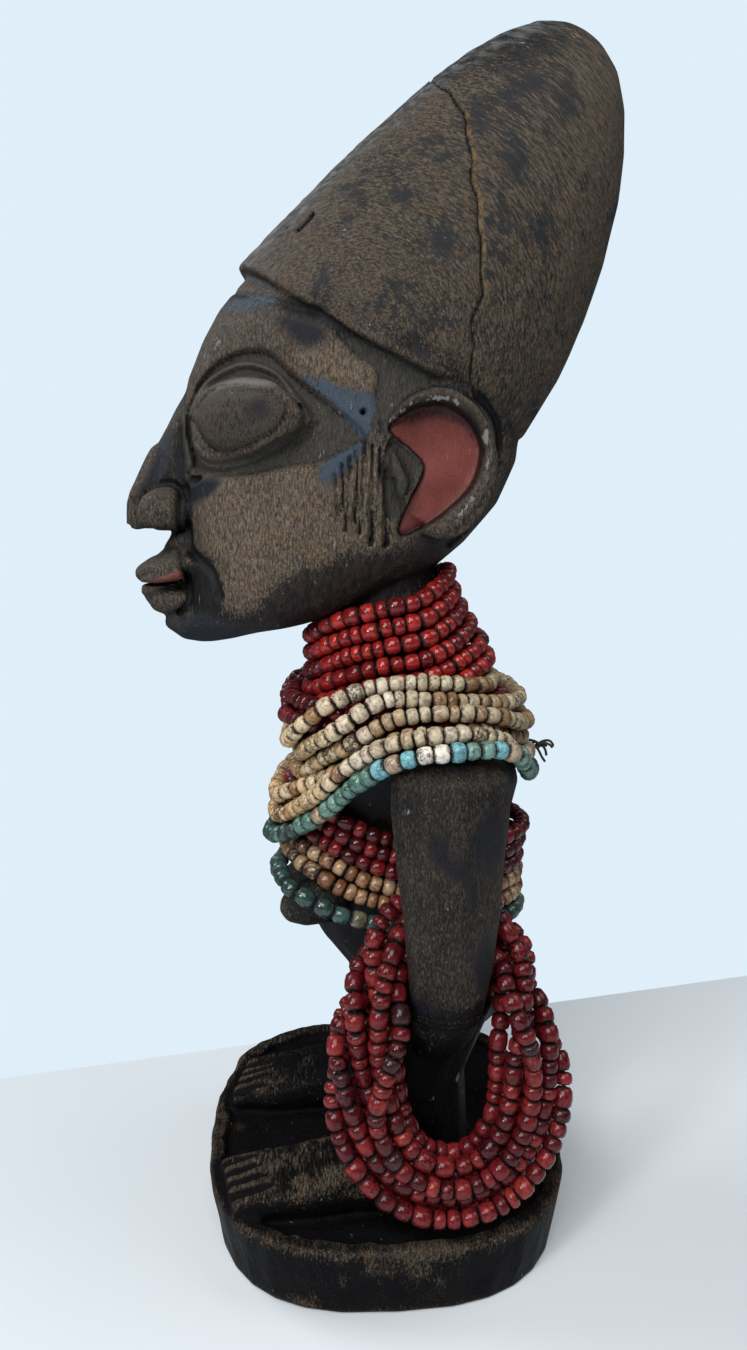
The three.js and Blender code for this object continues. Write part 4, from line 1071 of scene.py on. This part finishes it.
def bead_string(
    node_name, glass, seed, length, diameter=4.05, unevenness=0.3, hangs=False, ends=()
):
    """Beads in place of a packed string; lengths in millimetres."""
    course = loop_course(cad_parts[node_name], hangs) * MM
    line = bpy.data.meshes.new(node_name + "_beads")
    edges = [(i, (i + 1) % len(course)) for i in range(len(course))]
    line.from_pydata([tuple(point) for point in course], edges, [])
    piece = mesh_object(node_name + "_beads", line)
    modifier = piece.modifiers.new("beads", "NODES")
    modifier.node_group = bead_tree
    sizes = {"Diameter": diameter * MM, "Length": length * MM, "Unevenness": unevenness}
    sockets = {
        item.name: item.identifier for item in bead_tree.interface.items_tree if item.in_out == "INPUT"
    }
    for name, value in {**sizes, "Seed": seed, "Glass": glass}.items():
        modifier[sockets[name]] = value
    applied(piece)
    if ends:
        thread_ends(piece, ends)
    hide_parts(node_name)
    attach(piece, "root")


SMEAR_TINT = (0.4, 0.36, 0.38, 1)


def glass_material(name, colors, dirt_and_shade, by_place=False, tints=None, veins=0.0, roughness=0.14, shine=0.5):
    """Opaque glass: each bead takes one colour of the list, by chance or by its place on the string, with
    dirt at its ends that also paints the shade in the gaps between beads, a darker smear over part of it, and
    veins in the share given."""
    material, nodes = material_nodes(name)
    coordinates = nodes.add("ShaderNodeTexCoord").outputs["Object"]
    tone = nodes.stored("tone")
    in_mm = nodes.vector("MULTIPLY", coordinates, (1000, 1000, 1000))
    in_mm = nodes.vector("ADD", in_mm, nodes.math("MULTIPLY", tone, 300))
    place = nodes.stored("place")
    color = nodes.ramp(place if by_place else tone, colors)
    if by_place:
        color.node.color_ramp.interpolation = "CONSTANT"
    if tints:
        color = nodes.tinted(color, nodes.ramp(place, tints))
    smear = nodes.noise(in_mm, 0.55, 4, 0.7, 0.8)
    speck = nodes.noise(in_mm, 2.6, 3, 0.65)
    smeared = nodes.tinted(color, SMEAR_TINT)
    color = nodes.mix(nodes.ramp(smear, [(0.45, 0.0), (0.6, 0.9)]), color, smeared)
    # Dirt and painted shade at the bead's ends, in the gaps between beads.
    grime_and_shade = nodes.swayed(nodes.swayed(nodes.stored("end"), speck, 0.7), smear, 0.6)
    grime_and_shade = nodes.ramp(grime_and_shade, [(0.64, 0.0), (0.9, 1.0)])
    color = nodes.mix(grime_and_shade, color, dirt_and_shade)
    marbling = nodes.noise(in_mm, 0.7, 5, 0.7, 1.8)
    vein = nodes.math("ADD", nodes.math("MULTIPLY", marbling, 0.82), nodes.math("MULTIPLY", speck, 0.18))
    own_share = nodes.math("FRACT", nodes.math("MULTIPLY", tone, 13.7))
    vein = nodes.math("MULTIPLY_ADD", nodes.math("MULTIPLY", own_share, own_share), veins, vein)
    vein = nodes.ramp(vein, [(0.62, 0.0), (0.67, 0.88)])
    color = nodes.mix(vein, color, dirt_and_shade)
    gloss = nodes.ramp(grime_and_shade, [(0.0, roughness), (1.0, 0.7)])
    bump = nodes.add("ShaderNodeBump", {"Strength": 0.3, "Distance": 0.00012, "Height": smear})
    nodes.surface(
        **{"Base Color": color, "Roughness": gloss, "Specular IOR Level": shine, "Normal": bump}
    )
    return material


# Neck strings: six rows of bright red beads wound close round the neck. They are tied tight, so they lie on
# the wood and against each other.
RED_DIRT_AND_SHADE = (0.009, 0.0025, 0.003, 1)
BRIGHT_REDS = [
    (0.0, (0.095, 0.006, 0.008, 1)), (0.3, (0.22, 0.009, 0.009, 1)), (1.0, (0.36, 0.021, 0.016, 1))
]
bright_red = glass_material("bright_red_glass", BRIGHT_REDS, RED_DIRT_AND_SHADE, veins=0.1, shine=0.42)
for rank in range(1, 7):
    bead_string(
        f"neck_strand_{rank}", bright_red, 10 + rank, length=3.3, diameter=4.15
    )

# Loose strings: two slacker strings of dark red beads. They hang from the neck on to the chest and show in
# front, above the collar.
DARK_REDS = [
    (0.0, (0.05, 0.004, 0.005, 1)), (0.6, (0.115, 0.007, 0.009, 1)), (1.0, (0.2, 0.012, 0.014, 1))
]
dark_red = glass_material("dark_red_glass", DARK_REDS, RED_DIRT_AND_SHADE, veins=0.1, shine=0.38)
for rank in range(1, 3):
    bead_string(f"loose_strand_{rank}", dark_red, 20 + rank, length=3.3)

# Collar strings: five strings of cream beads over the shoulders, speckled, yellowed in front and greyed
# behind. The thread of one is knotted at the back, and its cut ends stick out as a small tuft.
CREAMS = [
    (0.0, (0.28, 0.15, 0.07, 1)), (0.12, (0.4, 0.275, 0.155, 1)), (0.5, (0.5, 0.4, 0.275, 1)),
    (1.0, (0.66, 0.585, 0.46, 1)),
]
CREAM_TINTS = [
    (0.0, (1, 0.84, 0.62, 1)), (0.13, (1, 0.9, 0.72, 1)), (0.2, (1, 1, 1, 1)),
    (0.27, (0.92, 0.92, 0.88, 1)), (0.36, (0.72, 0.7, 0.6, 1)), (0.85, (0.8, 0.72, 0.56, 1)),
    (1.0, (1, 0.84, 0.62, 1)),
]
CREAM_DIRT_AND_SHADE = (0.018, 0.011, 0.008, 1)
KNOT = [
    [(0.9, 35, 119.6), (1.1, 36.6, 119.2), (0.4, 37.6, 118.4), (-0.2, 36.8, 117.8), (0.4, 36, 118.2)],
    [(0.6, 35.4, 118.2), (0.2, 36.8, 118.8), (0.1, 38, 118.1), (0.8, 37.4, 117.6), (0.9, 36.2, 118.2)],
    [(0.3, 37.2, 118.2), (0, 39, 119), (-0.4, 40.6, 118.9), (-0.2, 41.4, 117.9), (0, 40.9, 117.3)],
    [(0.3, 37.2, 118.1), (0.8, 38.8, 118.7), (1, 40.2, 118.3), (0.9, 40.8, 117.7)],
    [(0.3, 37.4, 118), (-0.5, 38.8, 118), (-0.9, 40, 117.5)],
    [(0.3, 37.4, 118), (0.2, 38.8, 117.7), (0.2, 39.5, 116.6), (0.3, 39.7, 115.4)],
    [(0.4, 37, 117.8), (0.6, 37.8, 116.6), (0.6, 38.5, 115.2), (0.8, 39.3, 114)],
]
cream = glass_material(
    "cream_glass", CREAMS, CREAM_DIRT_AND_SHADE, tints=CREAM_TINTS, veins=0.14, roughness=0.26, shine=0.42
)
for rank in range(1, 5):
    bead_string(f"collar_strand_{rank}", cream, 30 + rank, length=3.05)
bead_string("collar_strand_5", cream, 35, length=3.05, ends=KNOT)

# Turquoise string: the lowest string of the collar. Its beads are more alike in length than the others, and
# sky-blue, white and marbled ones are strung among the teal, so each colour has its place on the loop.
WHITE = (0.74, 0.68, 0.58, 1)
SKY_BLUE = (0.16, 0.4, 0.44, 1)
TEAL = (0.09, 0.185, 0.148, 1)
PALE_TEAL = (0.15, 0.275, 0.23, 1)
DARK_TEAL = (0.03, 0.066, 0.054, 1)
MARBLED = (0.36, 0.27, 0.18, 1)
TURQUOISE_ORDER = [
    (0.0, DARK_TEAL), (0.03, TEAL), (0.05, DARK_TEAL), (0.075, TEAL), (0.105, MARBLED),
    (0.118, PALE_TEAL), (0.145, TEAL), (0.205, SKY_BLUE), (0.219, MARBLED), (0.234, SKY_BLUE),
    (0.25, WHITE), (0.28, SKY_BLUE), (0.294, PALE_TEAL), (0.309, SKY_BLUE), (0.324, MARBLED),
    (0.338, PALE_TEAL), (0.37, MARBLED), (0.382, TEAL), (0.43, DARK_TEAL), (0.5, TEAL), (0.57, MARBLED),
    (0.585, DARK_TEAL), (0.66, TEAL), (0.73, PALE_TEAL), (0.78, MARBLED), (0.795, TEAL),
    (0.87, DARK_TEAL),
]
TURQUOISE_DIRT_AND_SHADE = (0.012, 0.016, 0.013, 1)
turquoise = glass_material(
    "turquoise_glass", TURQUOISE_ORDER, TURQUOISE_DIRT_AND_SHADE, by_place=True, veins=0.12, roughness=0.16,
    shine=0.42,
)
bead_string(
    "collar_strand_turquoise", turquoise, 40, length=3.4, diameter=4.25,
    unevenness=0.12,
)

# Chest strings: three strings of dark red beads, two of tan and one of green, worn round the chest under the
# arms, the green one lowest.
TANS = [(0.0, (0.16, 0.065, 0.027, 1)), (0.5, (0.33, 0.17, 0.083, 1)), (1.0, (0.44, 0.3, 0.18, 1))]
TAN_DIRT_AND_SHADE = (0.018, 0.011, 0.007, 1)
GREENS = [
    (0.0, (0.018, 0.04, 0.034, 1)), (0.6, (0.028, 0.07, 0.06, 1)), (0.8, (0.06, 0.11, 0.09, 1)),
    (1.0, (0.2, 0.15, 0.085, 1)),
]
GREEN_DIRT_AND_SHADE = (0.008, 0.01, 0.008, 1)
tan = glass_material("tan_glass", TANS, TAN_DIRT_AND_SHADE, veins=0.18, roughness=0.22)
green = glass_material("green_glass", GREENS, GREEN_DIRT_AND_SHADE, veins=0.04, roughness=0.14)
for rank in range(1, 4):
    bead_string(f"chest_strand_red_{rank}", dark_red, 50 + rank, length=3.3)
for rank in range(1, 3):
    bead_string(f"chest_strand_tan_{rank}", tan, 60 + rank, length=3.2)
bead_string("chest_strand_green", green, 70, length=3.7, diameter=4.2)

# Wrist loops: eight long loops of crimson beads, larger, dustier and less even than the others. They hang
# round the left wrist and rest on the base.
CRIMSONS = [
    (0.0, (0.04, 0.014, 0.017, 1)), (0.06, (0.065, 0.006, 0.009, 1)), (0.5, (0.122, 0.008, 0.0105, 1)),
    (0.95, (0.205, 0.018, 0.0185, 1)), (1.0, (0.27, 0.032, 0.02, 1)),
]
CRIMSON_DIRT_AND_SHADE = (0.004, 0.0013, 0.0017, 1)
crimson = glass_material("crimson_glass", CRIMSONS, CRIMSON_DIRT_AND_SHADE, veins=0.15, roughness=0.2, shine=0.3)
for rank in range(1, 9):
    bead_string(
        f"wrist_loop_{rank}", crimson, 80 + rank, length=3.6, diameter=4.5,
        unevenness=0.35, hangs=True,
    )
